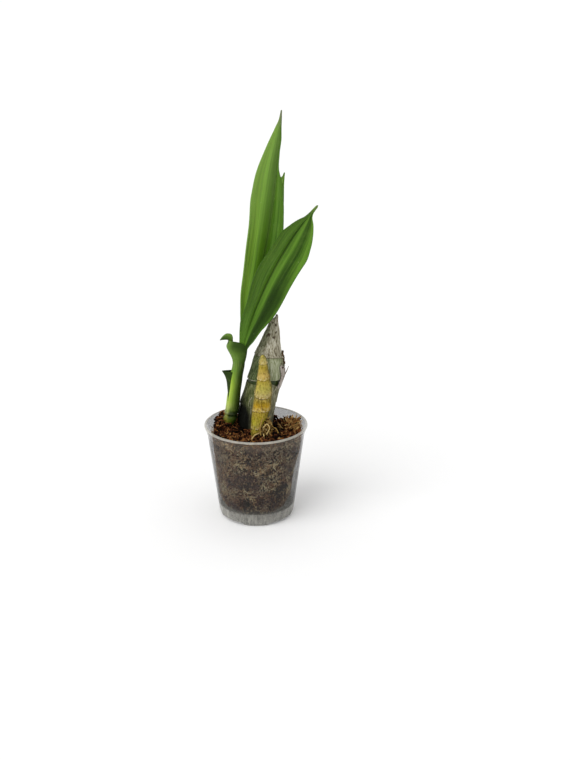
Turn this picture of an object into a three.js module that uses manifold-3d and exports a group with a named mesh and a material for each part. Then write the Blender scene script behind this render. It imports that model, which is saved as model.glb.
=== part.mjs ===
// A young Cycnodes orchid in a clear plastic nursery pot, in millimetres, +Z up.
// The old pseudobulb stands at the back in its dry sheaths, with a small yellow back bulb in front of it.
// The new shoot rises on the left, with two bracts and three pleated leaves. Coarse coir fills the pot.
// The pot's axis is x = 0, y = 0 while the pieces are made. The last lines centre the whole on its box.
import * as THREE from 'three';
import { mergeVertices } from 'three/addons/utils/BufferGeometryUtils.js';
import Module from 'manifold-3d';

const wasm = await Module();
wasm.setup();

// Clearance between pieces that touch
const GAP = 0.3;

// Pot
const RIM_RADIUS = 45;
const POT_HEIGHT = 83.3;
const BASE_RADIUS = 32.6;
const POT_SIDES = 40;
const SHOULDER_RADIUS = 41.6;
const SHOULDER_Z = 70;
const POT_WALL = 1;
const LIP_HEIGHT = 2;
const FLOOR_Z = 9;
const FLOOR_THICKNESS = 1;
const FOOT_COUNT = 4;
const FOOT_ARC_DEG = 40;
const FOOT_NOTCH_HEIGHT = 2.4;
const DRAIN_COUNT = 8;
const DRAIN_RADIUS = 1.8;
const DRAIN_CIRCLE_RADIUS = 24;

// Potting mix
const MIX_TOP_Z = 77;
const MIX_CLEAR = 0.5;
const MIX_SLACK = 0.8;
const MIX_LUMP = 1.4;
const CHIP_COUNT = 44;
const CHIP_HIGHEST_Z = 89;

// Old pseudobulb: points on its axis, and its outline with the sheaths on, as [height, radius]
const BULB_AXIS = [
  [-3, 16.6, 60], [-0.8, 16.9, 84], [2.2, 17, 100], [7.2, 17.2, 118], [9.9, 17.4, 132], [10.9, 17.6, 143],
  [12.8, 17.8, 155], [14.8, 18, 165], [16.3, 18.1, 178],
];
const BULB_OUTLINE = [
  [63, 8.5], [70, 13], [78, 15.6], [90, 15.9], [108, 15.7], [120, 15.4],
  [131, 14.2], [142, 11.9], [153, 8.7], [164, 5.7], [172, 3.6], [178, 2.8],
];
const BULB_SIDES = 24;
const BULB_FLUTES = 6;
const BULB_FLUTE_DEPTH = 0.35;
const SHEATH_THICKNESS = 0.8;
const CORE_TIP_Z = 173;
// Dry sheaths from the top down: name, lower edge, upper edge, and how ragged each edge is
const SHEATHS = [
  { name: 'dry_sheath_top', low: 141.5, high: 176.5, lowJag: 0.5, highJag: 1.3, rows: 4 },
  { name: 'dry_sheath_middle', low: 119.5, high: 140, lowJag: 0.5, highJag: 0.3, rows: 3 },
  { name: 'dry_sheath_lower', low: 98, high: 115.5, lowJag: 0.4, highJag: 1.3, rows: 2 },
  { name: 'dry_sheath_base', low: 81.5, high: 96, lowJag: 0.6, highJag: 0.5, rows: 2 },
];

// Yellow back bulb: points on its axis, its outline, and the heights where one scale steps out over the next
const YELLOW_AXIS = [
  [-1.5, -11, 62], [-0.5, -11.5, 77], [2.8, -9.5, 92], [5.6, -7.6, 105], [6.9, -6.2, 122], [6.4, -3.4, 149],
];
const YELLOW_OUTLINE = [
  [62, 2.6], [72, 3.1], [77, 3.7], [84, 5], [92, 6.9], [99, 7.8], [107, 7.9], [113, 7.7], [120, 7.1],
  [128, 5.5], [135, 4.5], [140, 3.4], [145, 1.9], [149, 0.6],
];
const YELLOW_SCALE_EDGES = [84, 97, 108, 127, 139.5];
const YELLOW_STEP = 0.55;

// New shoot
const SHOOT_AXIS = [
  [-26.5, 13.2, 60], [-24.5, 12, 78], [-20.4, 10.7, 94], [-19, 9.8, 106], [-17.7, 8.9, 118],
  [-15.3, 7.6, 134], [-13.7, 6.9, 144], [-9.9, 5.8, 157], [-7.6, 5.4, 166],
];
const SHOOT_OUTLINE = [
  [60, 4], [70, 4.6], [78, 5.1], [84, 5.6], [88, 5.3], [95, 5.2], [110, 5.1], [121, 4.9], [134, 4.6],
  [141, 4.4], [146, 3.7], [151, 2.9], [158, 2.6], [163, 2], [166, 1],
];

// Leaves and bracts. Each has a midrib curve (four Bezier points), and stations along it, from 0 at its base
// to 1 at its tip. widths: [station, width of the half at s < 0, width of the half at s > 0].
// fold: how far each half leans towards the upper face, in degrees.
// curl: how tightly the blade wraps the stem, as 1 / radius.
// facing: where the upper face looks, in degrees from -Y towards +X.
// pleat: depth of the pleats as a share of the half's width.
const LEAF_THICKNESS = 0.8;
// Half width under which a blade flattens out, so that its narrow tip doesn't close up on itself
const TIP_WIDTH = 5;
const LEAVES = [
  {
    name: 'leaf_tall',
    midrib: [[-11, 9.9, 151], [1, 10.5, 198], [18, 11, 255], [22.5, 16, 349.3]],
    widths: [
      [0, 4.2, 4.2], [0.1, 6.2, 5], [0.2, 9.8, 9], [0.3, 13.4, 13], [0.4, 15.4, 15.4],
      [0.5, 16.6, 16.8], [0.6, 17.5, 17.4], [0.7, 18.2, 15], [0.8, 16.2, 10.5], [0.85, 13.4, 7.2],
      [0.9, 9.4, 4.6], [0.95, 4.2, 2], [0.975, 1.8, 1.2], [1, 0.6, 0.6],
    ],
    fold: [[0, 0], [0.2, 20], [0.5, 23], [0.7, 28], [0.85, 38], [1, 38]],
    curl: [[0, 0.27], [0.12, 0.05], [0.2, 0]],
    facing: [[0, 0], [0.3, -18], [0.6, -24], [0.75, -34], [0.85, -42], [1, -42]],
    pleat: 0.1,
    cells: [12, 20],
  },
  {
    name: 'leaf_inner',
    midrib: [[-11, 11.1, 150.5], [-3, 18, 202], [16.5, 23, 246], [24.9, 20, 300]],
    widths: [
      [0, 4.2, 4.2], [0.08, 3.6, 4], [0.2, 6, 7], [0.4, 10.5, 11.5], [0.6, 12.6, 13], [0.7, 11, 10.4],
      [0.8, 7.8, 6.6], [0.9, 3.4, 2.6], [0.95, 1.4, 1.2], [1, 0.6, 0.6],
    ],
    fold: [[0, 0], [0.3, 22], [0.7, 30], [1, 40]],
    curl: [[0, 0.2], [0.14, 0.05], [0.22, 0]],
    facing: [[0, 0], [1, 5]],
    pleat: 0.1,
    cells: [12, 14],
  },
  {
    name: 'leaf_front',
    midrib: [[-10.6, 2.3, 150], [-7, -2, 184], [22, -9, 238], [51.3, -18.6, 278.6]],
    widths: [
      [0, 2.8, 2.6], [0.05, 4.4, 3.8], [0.1, 5.6, 5.4], [0.2, 9, 9], [0.25, 10.6, 11.6],
      [0.35, 10.8, 15.6], [0.5, 15, 17.5], [0.6, 16.5, 17.7], [0.7, 14.8, 17.6], [0.8, 13.4, 14.1],
      [0.85, 10.4, 11.3], [0.9, 6, 7.3], [0.93, 3, 3.6], [0.955, 1.7, 1.7], [0.985, 1.7, 1.7], [1, 0.6, 0.6],
    ],
    fold: [[0, 22], [0.3, 23], [0.6, 22], [0.85, 26], [1, 36]],
    curl: [[0, 0]],
    facing: [[0, 4], [0.25, 13], [0.5, 18], [0.85, 20], [1, 44]],
    pleat: 0.12,
    cells: [12, 22],
  },
  {
    name: 'bract_upper',
    midrib: [[-19.6, 7.2, 140], [-30.6, 5.7, 150], [-15, 4, 172.5], [-30.5, 3, 158]],
    widths: [
      [0, 11.8, 11.8], [0.12, 14, 13], [0.24, 18.5, 14], [0.32, 20, 12], [0.4, 16, 9], [0.46, 9, 6.5],
      [0.53, 4.8, 4.6], [0.64, 4, 4], [0.78, 4.2, 4.2], [0.92, 2.8, 2.8], [1, 0.6, 0.6],
    ],
    fold: [[0, 0], [0.4, 0], [0.6, 30], [0.85, 42], [1, 42]],
    curl: [[0, 0.19], [0.28, 0.125], [0.45, 0.09], [0.6, 0]],
    facing: [[0, 90], [0.4, 90], [0.7, 112], [1, 118]],
    pleat: 0,
    cells: [14, 14],
  },
  {
    name: 'bract_lower',
    midrib: [[-27, 13, 90], [-24.6, 11.6, 106], [-23.6, 11, 119], [-29.2, 10, 130.5]],
    widths: [[0, 5.4, 5], [0.5, 6.6, 5.6], [0.8, 8.4, 5.6], [0.9, 7.4, 4.4], [0.96, 3.6, 2], [1, 0.6, 0.6]],
    fold: [[0, 0], [0.7, 4], [1, 12]],
    curl: [[0, 0.168], [0.6, 0.15], [0.85, 0.1], [1, 0.03]],
    facing: [[0, 70], [1, 66]],
    pleat: 0,
    cells: [8, 10],
  },
];

// Roots at the foot of the yellow back bulb: one list of points for each
const ROOT_RADIUS = 0.9;
const ROOT_KNOT = { centre: [7.6, -9.6, 84], radii: [5, 4.6, 9.5] };
const ROOTS = [
  [[6.5, -12.5, 85], [9.4, -16, 86.5], [11.6, -15.4, 84.6], [11.4, -14.6, 80], [9.8, -15.5, 73]],
  [[8, -11, 90], [12.4, -12.4, 90.4], [14.8, -12, 87.4], [15.4, -11.6, 81], [16.4, -13, 73]],
  [[4.5, -13, 81], [1.4, -17.4, 81.6], [-1.8, -18.6, 79.4], [-3.8, -20, 74], [-4, -20.4, 70]],
  [[9, -7.4, 88], [13.8, -6.6, 88.6], [17.4, -6.4, 85], [19.6, -7.4, 79.4], [20.4, -8.4, 72]],
  [[6, -12.5, 80], [7, -17.6, 80.4], [7.4, -20.8, 78.6], [6.6, -22.6, 72]],
];

// Value at t of a smooth curve through stations [position, value]
function along(stations, t) {
  const last = stations.length - 1;
  if (last === 0 || t <= stations[0][0]) return stations[0][1];
  if (t >= stations[last][0]) return stations[last][1];
  const i = stations.findIndex(([position]) => position > t) - 1;
  const slope = (a, b) => (stations[b][1] - stations[a][1]) / (stations[b][0] - stations[a][0]);
  const tangent = (k) => {
    if (k === 0) return slope(0, 1);
    if (k === last) return slope(last - 1, last);
    const before = slope(k - 1, k);
    const after = slope(k, k + 1);
    return before * after <= 0 ? 0 : (2 * before * after) / (before + after);
  };
  const [t0, v0] = stations[i];
  const [t1, v1] = stations[i + 1];
  const span = t1 - t0;
  const u = (t - t0) / span;
  const rise = v1 - v0;
  const start = tangent(i) * span;
  const end = tangent(i + 1) * span;
  return v0 + u * (start + u * (3 * rise - 2 * start - end + u * (start + end - 2 * rise)));
}

function vector([x, y, z]) {
  return new THREE.Vector3(x, y, z);
}

// Small seeded random numbers, so that the chips fall alike each time
function seeded(seed) {
  let state = seed;
  return () => {
    state = (Math.imul(state, 1664525) + 1013904223) >>> 0;
    return state / 4294967296;
  };
}

// A closed geometry as a solid, with its shared vertices merged and empty triangles dropped
function solidOf(geometry) {
  const bare = new THREE.BufferGeometry().setAttribute('position', geometry.getAttribute('position'));
  if (geometry.index) bare.setIndex(geometry.index);
  const merged = mergeVertices(bare, 1e-4);
  const index = merged.index.array;
  const triangles = [];
  for (let i = 0; i < index.length; i += 3) {
    const [a, b, c] = [index[i], index[i + 1], index[i + 2]];
    if (a !== b && b !== c && c !== a) triangles.push(a, b, c);
  }
  return new wasm.Manifold(new wasm.Mesh({
    numProp: 3,
    vertProperties: new Float32Array(merged.getAttribute('position').array),
    triVerts: new Uint32Array(triangles),
  }));
}

// The largest body of a solid as a geometry; loose scraps that a cut leaves are dropped
function geometryOf(solid) {
  const bodies = solid.decompose().sort((a, b) => b.volume() - a.volume());
  const mesh = bodies[0].getMesh();
  const geometry = new THREE.BufferGeometry();
  geometry.setAttribute('position', new THREE.BufferAttribute(new Float32Array(mesh.vertProperties), 3));
  geometry.setIndex(new THREE.BufferAttribute(new Uint32Array(mesh.triVerts), 1));
  return geometry;
}

// Closed surface through a stack of rings, each with the same number of points, capped at both ends
function skinOf(rings) {
  const sides = rings[0].length;
  const points = rings.flat();
  const faces = [];
  for (let r = 0; r < rings.length - 1; r++) {
    for (let k = 0; k < sides; k++) {
      const a = r * sides + k;
      const b = r * sides + ((k + 1) % sides);
      faces.push(a, b, b + sides, a, b + sides, a + sides);
    }
  }
  const middle = (ring) => ring.reduce((sum, p) => sum.add(p), new THREE.Vector3()).divideScalar(sides);
  const foot = points.push(middle(rings[0])) - 1;
  const head = points.push(middle(rings[rings.length - 1])) - 1;
  const top = (rings.length - 1) * sides;
  for (let k = 0; k < sides; k++) {
    const next = (k + 1) % sides;
    faces.push(foot, next, k, head, top + k, top + next);
  }
  return new THREE.BufferGeometry().setFromPoints(points).setIndex(faces);
}

// Level rings round an axis given as a function of height. radius takes the height and the angle.
function uprightRings(heights, sides, axis, radius) {
  return heights.map((z) => {
    const centre = axis(z);
    return Array.from({ length: sides }, (_, k) => {
      const angle = (2 * Math.PI * k) / sides;
      const r = radius(z, angle);
      return new THREE.Vector3(centre.x + r * Math.cos(angle), centre.y + r * Math.sin(angle), z);
    });
  });
}

function evenly(low, high, count) {
  return Array.from({ length: count + 1 }, (_, i) => low + ((high - low) * i) / count);
}

// A point at height z on a smooth axis through the given points
function axisThrough(points) {
  const xs = points.map(([x, , z]) => [z, x]);
  const ys = points.map(([, y, z]) => [z, y]);
  return (z) => new THREE.Vector3(along(xs, z), along(ys, z), z);
}

// Pot

function wallRadius(z) {
  return BASE_RADIUS + ((SHOULDER_RADIUS - BASE_RADIUS) * z) / SHOULDER_Z;
}

function insideRadius(z) {
  return along([[0, BASE_RADIUS - POT_WALL], [SHOULDER_Z, SHOULDER_RADIUS - POT_WALL],
    [76, SHOULDER_RADIUS - 0.4], [79.5, SHOULDER_RADIUS + 0.7], [82.5, RIM_RADIUS - LIP_HEIGHT]], z);
}

function turned(profile, sides) {
  const points = profile.map(([r, z]) => new THREE.Vector2(r, z));
  return new THREE.LatheGeometry(points, sides).rotateX(Math.PI / 2);
}

function makePot() {
  const skirt = 1.3;
  const underside = FLOOR_Z + FLOOR_THICKNESS;
  const lipMiddle = POT_HEIGHT - LIP_HEIGHT / 2;
  const profile = [
    [0, FLOOR_Z],
    [wallRadius(FLOOR_Z) - skirt, FLOOR_Z],
    [BASE_RADIUS - 2, 0],
    [BASE_RADIUS - 0.5, 0],
    [wallRadius(1.2), 1.2],
    [SHOULDER_RADIUS, SHOULDER_Z],
    [SHOULDER_RADIUS + 0.7, 75],
    [SHOULDER_RADIUS + 1.9, 79],
    [RIM_RADIUS - 0.5, lipMiddle - 0.8],
    [RIM_RADIUS, lipMiddle],
    [RIM_RADIUS - 0.5, POT_HEIGHT - 0.2],
    [RIM_RADIUS - 1.2, POT_HEIGHT],
    [RIM_RADIUS - LIP_HEIGHT, POT_HEIGHT - 0.6],
    [insideRadius(79.5), 79.5],
    [insideRadius(76), 76],
    [insideRadius(SHOULDER_Z), SHOULDER_Z],
    [insideRadius(underside + 1), underside + 1],
    [insideRadius(underside) - 1, underside],
    [0, underside],
  ];
  let pot = solidOf(turned(profile, POT_SIDES));
  if (pot.volume() < 0) throw new Error('the pot profile runs the wrong way round');
  const notchArc = THREE.MathUtils.degToRad(360 / FOOT_COUNT - FOOT_ARC_DEG);
  for (let k = 0; k < FOOT_COUNT; k++) {
    const middle = ((k + 0.5) * 2 * Math.PI) / FOOT_COUNT;
    const wedge = new THREE.Shape();
    wedge.moveTo(0, 0);
    for (const share of [-0.5, -0.25, 0, 0.25, 0.5]) {
      const angle = middle + share * notchArc;
      wedge.lineTo(RIM_RADIUS * Math.cos(angle), RIM_RADIUS * Math.sin(angle));
    }
    const cutter = new THREE.ExtrudeGeometry(wedge, { depth: FOOT_NOTCH_HEIGHT + 1, bevelEnabled: false });
    pot = pot.subtract(solidOf(cutter.translate(0, 0, -1)));
  }
  for (let k = 0; k < DRAIN_COUNT; k++) {
    const angle = ((k + 0.5) * 2 * Math.PI) / DRAIN_COUNT;
    const hole = new THREE.CylinderGeometry(DRAIN_RADIUS, DRAIN_RADIUS, 4 * FLOOR_THICKNESS, 6);
    hole.rotateX(Math.PI / 2);
    hole.translate(DRAIN_CIRCLE_RADIUS * Math.cos(angle), DRAIN_CIRCLE_RADIUS * Math.sin(angle), FLOOR_Z);
    pot = pot.subtract(solidOf(hole));
  }
  return geometryOf(pot);
}

// Old pseudobulb and its dry sheaths

const bulbAxis = axisThrough(BULB_AXIS);

function bulbOutside(z, angle) {
  return along(BULB_OUTLINE, z) + BULB_FLUTE_DEPTH * (Math.cos(BULB_FLUTES * angle) - 1);
}

// How deep the bulb's own surface lies under the outline: the sheath and the gap behind it
const SHEATH_DEPTH = SHEATH_THICKNESS + GAP;

function makePseudobulb() {
  const heights = evenly(BULB_OUTLINE[0][0], CORE_TIP_Z, 15);
  const radius = (z, angle) => Math.max(bulbOutside(z, angle) - SHEATH_DEPTH, 0.8);
  return skinOf(uprightRings(heights, BULB_SIDES, bulbAxis, radius));
}

function bulbEnvelope(grow) {
  const heights = evenly(BULB_OUTLINE[0][0] - 1, 98, 5);
  const radius = (z, angle) => bulbOutside(z, angle) + grow;
  return solidOf(skinOf(uprightRings(heights, BULB_SIDES, bulbAxis, radius)));
}

// A shell between its lower and upper ragged edges: up the outside, over the rim and down the inside
function makeSheath({ low, high, lowJag, highJag, rows }, seed) {
  const sides = BULB_SIDES;
  const random = seeded(seed);
  const jags = Array.from({ length: sides }, () => [random() - 0.5, random() - 0.5]);
  const point = (k, share, depth) => {
    const angle = (2 * Math.PI * k) / sides;
    const [lowDraw, highDraw] = jags[k % sides];
    const bottom = low + lowJag * 2 * lowDraw;
    const z = bottom + (high + highJag * 2 * highDraw - bottom) * share;
    const centre = bulbAxis(z);
    const r = bulbOutside(z, angle) - depth;
    return new THREE.Vector3(centre.x + r * Math.cos(angle), centre.y + r * Math.sin(angle), z);
  };
  const ring = (share, depth) => Array.from({ length: sides }, (_, k) => point(k, share, depth));
  const shares = evenly(0, 1, rows);
  const rings = [
    ...shares.map((share) => ring(share, 0)),
    ...shares.reverse().map((share) => ring(share, SHEATH_THICKNESS)),
  ];
  const faces = [];
  for (let r = 0; r < rings.length; r++) {
    const next = ((r + 1) % rings.length) * sides;
    for (let k = 0; k < sides; k++) {
      const along1 = (k + 1) % sides;
      faces.push(r * sides + k, r * sides + along1, next + along1, r * sides + k, next + along1, next + k);
    }
  }
  return new THREE.BufferGeometry().setFromPoints(rings.flat()).setIndex(faces);
}

// Yellow back bulb: each scale widens downwards, then steps in to the next

function yellowRadius(z) {
  const edges = [YELLOW_OUTLINE[0][0], ...YELLOW_SCALE_EDGES, 149];
  const i = Math.max(0, edges.findIndex((edge) => edge > z) - 1);
  const share = (z - edges[i]) / (edges[i + 1] - edges[i]);
  const step = i === 0 ? 0 : YELLOW_STEP * (0.5 - share);
  return Math.max(along(YELLOW_OUTLINE, z) + step, 0.4);
}

function makeYellow(grow) {
  const axis = axisThrough(YELLOW_AXIS);
  const heights = evenly(YELLOW_OUTLINE[0][0] - grow, 82, 2);
  YELLOW_SCALE_EDGES.forEach((edge, i) => {
    const above = YELLOW_SCALE_EDGES[i + 1] ?? 148.6;
    heights.push(edge - 0.35, edge + 0.35, edge + (above - edge) * 0.5);
  });
  heights.push(148.9 + grow);
  const radius = (z, angle) => yellowRadius(Math.min(z, 149)) * (1 + 0.03 * Math.cos(5 * angle)) + grow;
  return skinOf(uprightRings(heights, 16, axis, radius));
}

// New shoot

function makeShoot(grow) {
  const axis = axisThrough(SHOOT_AXIS);
  const low = SHOOT_OUTLINE[0][0];
  const high = SHOOT_OUTLINE[SHOOT_OUTLINE.length - 1][0];
  return skinOf(uprightRings(evenly(low - grow, high, 18), 16, axis, (z) => along(SHOOT_OUTLINE, z) + grow));
}

// A pleated blade. s runs across it from -1 at one margin to 1 at the other, t from base to tip.
function bladePoint(leaf, s, t) {
  const curve = new THREE.CubicBezierCurve3(...leaf.midrib.map(vector));
  const centre = curve.getPoint(t);
  const tangent = curve.getTangent(t);
  const azimuth = THREE.MathUtils.degToRad(along(leaf.facing, t));
  const look = new THREE.Vector3(Math.sin(azimuth), -Math.cos(azimuth), 0);
  const level = new THREE.Vector3(Math.cos(azimuth), Math.sin(azimuth), 0);
  const side = level.addScaledVector(tangent, -level.dot(tangent)).normalize();
  const up = new THREE.Vector3().crossVectors(side, tangent);
  const halves = leaf.widths.map(([station, before, after]) => [station, s < 0 ? before : after]);
  const width = along(halves, t);
  const flatter = Math.min(1, width / TIP_WIDTH);
  const fold = THREE.MathUtils.degToRad(along(leaf.fold, t)) * flatter;
  const curl = along(leaf.curl, t) + 1e-4;
  up.lerp(look, THREE.MathUtils.smoothstep(curl, 0, 0.1)).normalize();
  const reach = Math.abs(s) * width;
  const lateral = (Math.sin(fold + curl * reach) - Math.sin(fold)) / curl;
  const pleat = leaf.pleat * flatter * THREE.MathUtils.smoothstep(t, 0.02, 0.25);
  const height = (Math.cos(fold) - Math.cos(fold + curl * reach)) / curl
    + pleat * width * 0.5 * (1 - Math.cos(3 * Math.PI * Math.abs(s)));
  return centre.addScaledVector(side, Math.sign(s) * lateral).addScaledVector(up, height);
}

// The blade as a solid: both faces are split alike, and the rim joins them
function makeBlade(leaf) {
  const [across, lengthwise] = leaf.cells;
  const step = 1e-3;
  const faces = [];
  const upper = [];
  const lower = [];
  for (let j = 0; j <= lengthwise; j++) {
    for (let i = 0; i <= across; i++) {
      const s = (2 * i) / across - 1;
      const t = j / lengthwise;
      const point = bladePoint(leaf, s, t);
      const ds = bladePoint(leaf, Math.min(s + step, 1), t).sub(bladePoint(leaf, Math.max(s - step, -1), t));
      const dt = bladePoint(leaf, s, Math.min(t + step, 1)).sub(bladePoint(leaf, s, Math.max(t - step, 0)));
      const normal = ds.cross(dt).normalize().multiplyScalar(-LEAF_THICKNESS / 2);
      upper.push(point.clone().sub(normal));
      lower.push(point.clone().add(normal));
    }
  }
  const row = across + 1;
  const under = upper.length;
  const quad = (a, b, c, d) => faces.push(a, b, c, a, c, d);
  for (let j = 0; j < lengthwise; j++) {
    for (let i = 0; i < across; i++) {
      const a = j * row + i;
      const below = under + a;
      quad(a, a + 1, a + row + 1, a + row);
      faces.push(below, below + row + 1, below + 1, below, below + row, below + row + 1);
    }
    const left = j * row;
    const right = left + across;
    quad(left, left + row, under + left + row, under + left);
    quad(right + row, right, under + right, under + right + row);
  }
  for (let i = 0; i < across; i++) {
    const tip = lengthwise * row + i;
    quad(i + 1, i, under + i, under + i + 1);
    quad(tip, tip + 1, under + tip + 1, under + tip);
  }
  return new THREE.BufferGeometry().setFromPoints([...upper, ...lower]).setIndex(faces);
}

// Roots: round strands that bend over and go down into the mix, held in one knot

function makeStrand(points, radius) {
  const curve = new THREE.CatmullRomCurve3(points.map(vector));
  const steps = 8;
  const sides = 5;
  const frames = curve.computeFrenetFrames(steps, false);
  const rings = evenly(0, 1, steps).map((u, i) => {
    const centre = curve.getPointAt(u);
    return Array.from({ length: sides }, (_, k) => {
      const angle = (2 * Math.PI * k) / sides;
      return centre.clone()
        .addScaledVector(frames.normals[i], radius * Math.cos(angle))
        .addScaledVector(frames.binormals[i], radius * Math.sin(angle));
    });
  });
  return skinOf(rings);
}

function rootBody(grow) {
  const knot = new THREE.IcosahedronGeometry(1, 1);
  const [rx, ry, rz] = ROOT_KNOT.radii;
  knot.scale(rx + grow, ry + grow, rz + grow).translate(...ROOT_KNOT.centre);
  let body = solidOf(knot);
  for (const points of ROOTS) body = body.add(solidOf(makeStrand(points, ROOT_RADIUS + grow)));
  return body;
}

function makeRoots() {
  return geometryOf(rootBody(0).subtract(solidOf(makeYellow(GAP))).subtract(bulbEnvelope(GAP)));
}

// Potting mix: a lumpy fill with coir chips sunk into its top, clear of the pot and of all that stands in it

function mixTop(x, y) {
  const lumps = Math.sin(0.42 * x + 1.1) * Math.cos(0.37 * y - 0.6) + 0.6 * Math.sin(0.83 * x - 0.71 * y);
  return MIX_TOP_Z + MIX_LUMP * lumps;
}

function makeMixBody() {
  const sides = 30;
  const floor = FLOOR_Z + FLOOR_THICKNESS + GAP;
  const side = (z, angle) => {
    const lump = 0.5 + 0.5 * Math.sin(5 * angle + 0.31 * z) * Math.cos(0.23 * z - 3 * angle);
    return insideRadius(z) - MIX_SLACK - MIX_LUMP * 0.8 * lump;
  };
  const centre = () => new THREE.Vector3();
  const foot = uprightRings([floor, floor + 1.2], sides, centre, (z, angle) => side(z, angle) - 1.5);
  const rings = [...foot, ...uprightRings([22, 36, 50, 64, 73], sides, centre, side)];
  for (const share of [0.96, 0.78, 0.56, 0.34, 0.14]) {
    rings.push(Array.from({ length: sides }, (_, k) => {
      const angle = (2 * Math.PI * k) / sides;
      const r = side(73, angle) * share;
      const x = r * Math.cos(angle);
      const y = r * Math.sin(angle);
      return new THREE.Vector3(x, y, mixTop(x, y));
    }));
  }
  return solidOf(skinOf(rings));
}

// A flat chip of husk, narrower at its top, that leans out of the surface
function makeChip(random) {
  const length = 8 + 6 * random();
  const chip = new THREE.BoxGeometry(2.2 + 2 * random(), 1.3 + random(), length);
  const position = chip.getAttribute('position');
  const taper = 0.35 + 0.3 * random();
  for (let i = 0; i < position.count; i++) {
    const share = position.getZ(i) > 0 ? taper : 1;
    position.setXYZ(i, position.getX(i) * share, position.getY(i) * share, position.getZ(i));
  }
  chip.rotateX((random() - 0.5) * 2.2).rotateY((random() - 0.5) * 2.2).rotateZ(random() * Math.PI);
  const r = (insideRadius(MIX_TOP_Z) - 4) * Math.sqrt(random());
  const angle = 2 * Math.PI * random();
  const x = r * Math.cos(angle);
  const y = r * Math.sin(angle);
  return chip.translate(x, y, mixTop(x, y) + 0.12 * length - 0.5);
}

function makeMix() {
  const random = seeded(20);
  let mix = makeMixBody();
  for (let k = 0; k < CHIP_COUNT; k++) mix = mix.add(solidOf(makeChip(random)));
  const floor = FLOOR_Z + FLOOR_THICKNESS + GAP;
  const [low, ...walls] = evenly(floor, CHIP_HIGHEST_Z, 8).map((z) => [insideRadius(Math.min(z, 79)) - MIX_CLEAR, z]);
  const inside = [[0, floor], [low[0] - 1.3, floor], ...walls, [0, CHIP_HIGHEST_Z]];
  mix = mix.intersect(solidOf(turned(inside, POT_SIDES)));
  const standing = [solidOf(makeYellow(GAP)), solidOf(makeShoot(GAP)), bulbEnvelope(GAP), rootBody(GAP)];
  for (const piece of standing) mix = mix.subtract(piece);
  return geometryOf(mix);
}

const FINISHES = {
  clear_plastic: { color: 0xd9dcdb, roughness: 0.35, metalness: 0 },
  coir: { color: 0x5a3a22, roughness: 0.95, metalness: 0 },
  bulb_green: { color: 0x4a5f38, roughness: 0.6, metalness: 0 },
  dry_sheath: { color: 0x9a9582, roughness: 0.9, metalness: 0 },
  bulb_yellow: { color: 0xb59a35, roughness: 0.6, metalness: 0 },
  shoot_green: { color: 0x7ba233, roughness: 0.45, metalness: 0 },
  bract_green: { color: 0x2f5e22, roughness: 0.5, metalness: 0 },
  leaf_green: { color: 0x4d8228, roughness: 0.45, metalness: 0 },
  root: { color: 0xa98a52, roughness: 0.85, metalness: 0 },
};

const plant = new THREE.Group();

function place(name, geometry, finish) {
  const mesh = new THREE.Mesh(geometry, new THREE.MeshStandardMaterial(FINISHES[finish]));
  mesh.name = name;
  plant.add(mesh);
}

place('pot', makePot(), 'clear_plastic');
place('potting_mix', makeMix(), 'coir');
place('pseudobulb', makePseudobulb(), 'bulb_green');
SHEATHS.forEach((sheath, i) => place(sheath.name, makeSheath(sheath, 31 + i), 'dry_sheath'));
place('yellow_back_bulb', makeYellow(0), 'bulb_yellow');
place('roots', makeRoots(), 'root');
place('new_shoot', makeShoot(0), 'shoot_green');
for (const leaf of LEAVES) {
  const blade = solidOf(makeBlade(leaf)).subtract(solidOf(makeShoot(GAP)));
  place(leaf.name, geometryOf(blade), leaf.name.startsWith('bract') ? 'bract_green' : 'leaf_green');
}

// Origin: the middle of the bounding box, on the surface that the pot stands on
const box = new THREE.Box3().setFromObject(plant);
const middle = box.getCenter(new THREE.Vector3());
plant.position.set(-middle.x, -middle.y, -box.min.z);

export default plant;
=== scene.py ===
"""A young Cycnodes orchid in a clear plastic nursery pot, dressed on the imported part.

The numbers that give a piece its form start from those in the part's source, in millimetres from the pot's
axis. to_frame() turns them into metres in the part's frame.
"""

import math
import random

import bpy
import numpy as np
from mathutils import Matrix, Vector, noise


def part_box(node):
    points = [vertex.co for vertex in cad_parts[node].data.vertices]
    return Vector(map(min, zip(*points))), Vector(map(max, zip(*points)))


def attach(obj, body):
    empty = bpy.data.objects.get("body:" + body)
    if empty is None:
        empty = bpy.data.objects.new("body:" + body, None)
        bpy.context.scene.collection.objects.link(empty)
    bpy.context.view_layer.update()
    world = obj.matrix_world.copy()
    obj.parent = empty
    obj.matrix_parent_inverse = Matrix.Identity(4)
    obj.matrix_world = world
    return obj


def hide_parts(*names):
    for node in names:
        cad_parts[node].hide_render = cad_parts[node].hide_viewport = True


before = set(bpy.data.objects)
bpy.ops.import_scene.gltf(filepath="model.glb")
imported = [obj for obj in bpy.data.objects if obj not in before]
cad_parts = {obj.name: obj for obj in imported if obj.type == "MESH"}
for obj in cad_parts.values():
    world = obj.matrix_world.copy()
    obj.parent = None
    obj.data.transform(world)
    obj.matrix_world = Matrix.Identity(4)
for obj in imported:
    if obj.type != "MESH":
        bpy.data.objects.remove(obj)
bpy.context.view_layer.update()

MM = 0.001
# How much brighter than its own colour a matt surface shows under the stage's light
STAGE_GAIN = 1.25
pot_low, pot_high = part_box("pot")
POT_AXIS = Vector(((pot_low[0] + pot_high[0]) / 2, (pot_low[1] + pot_high[1]) / 2, 0))

# Pot
RIM_RADIUS = 45
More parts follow.
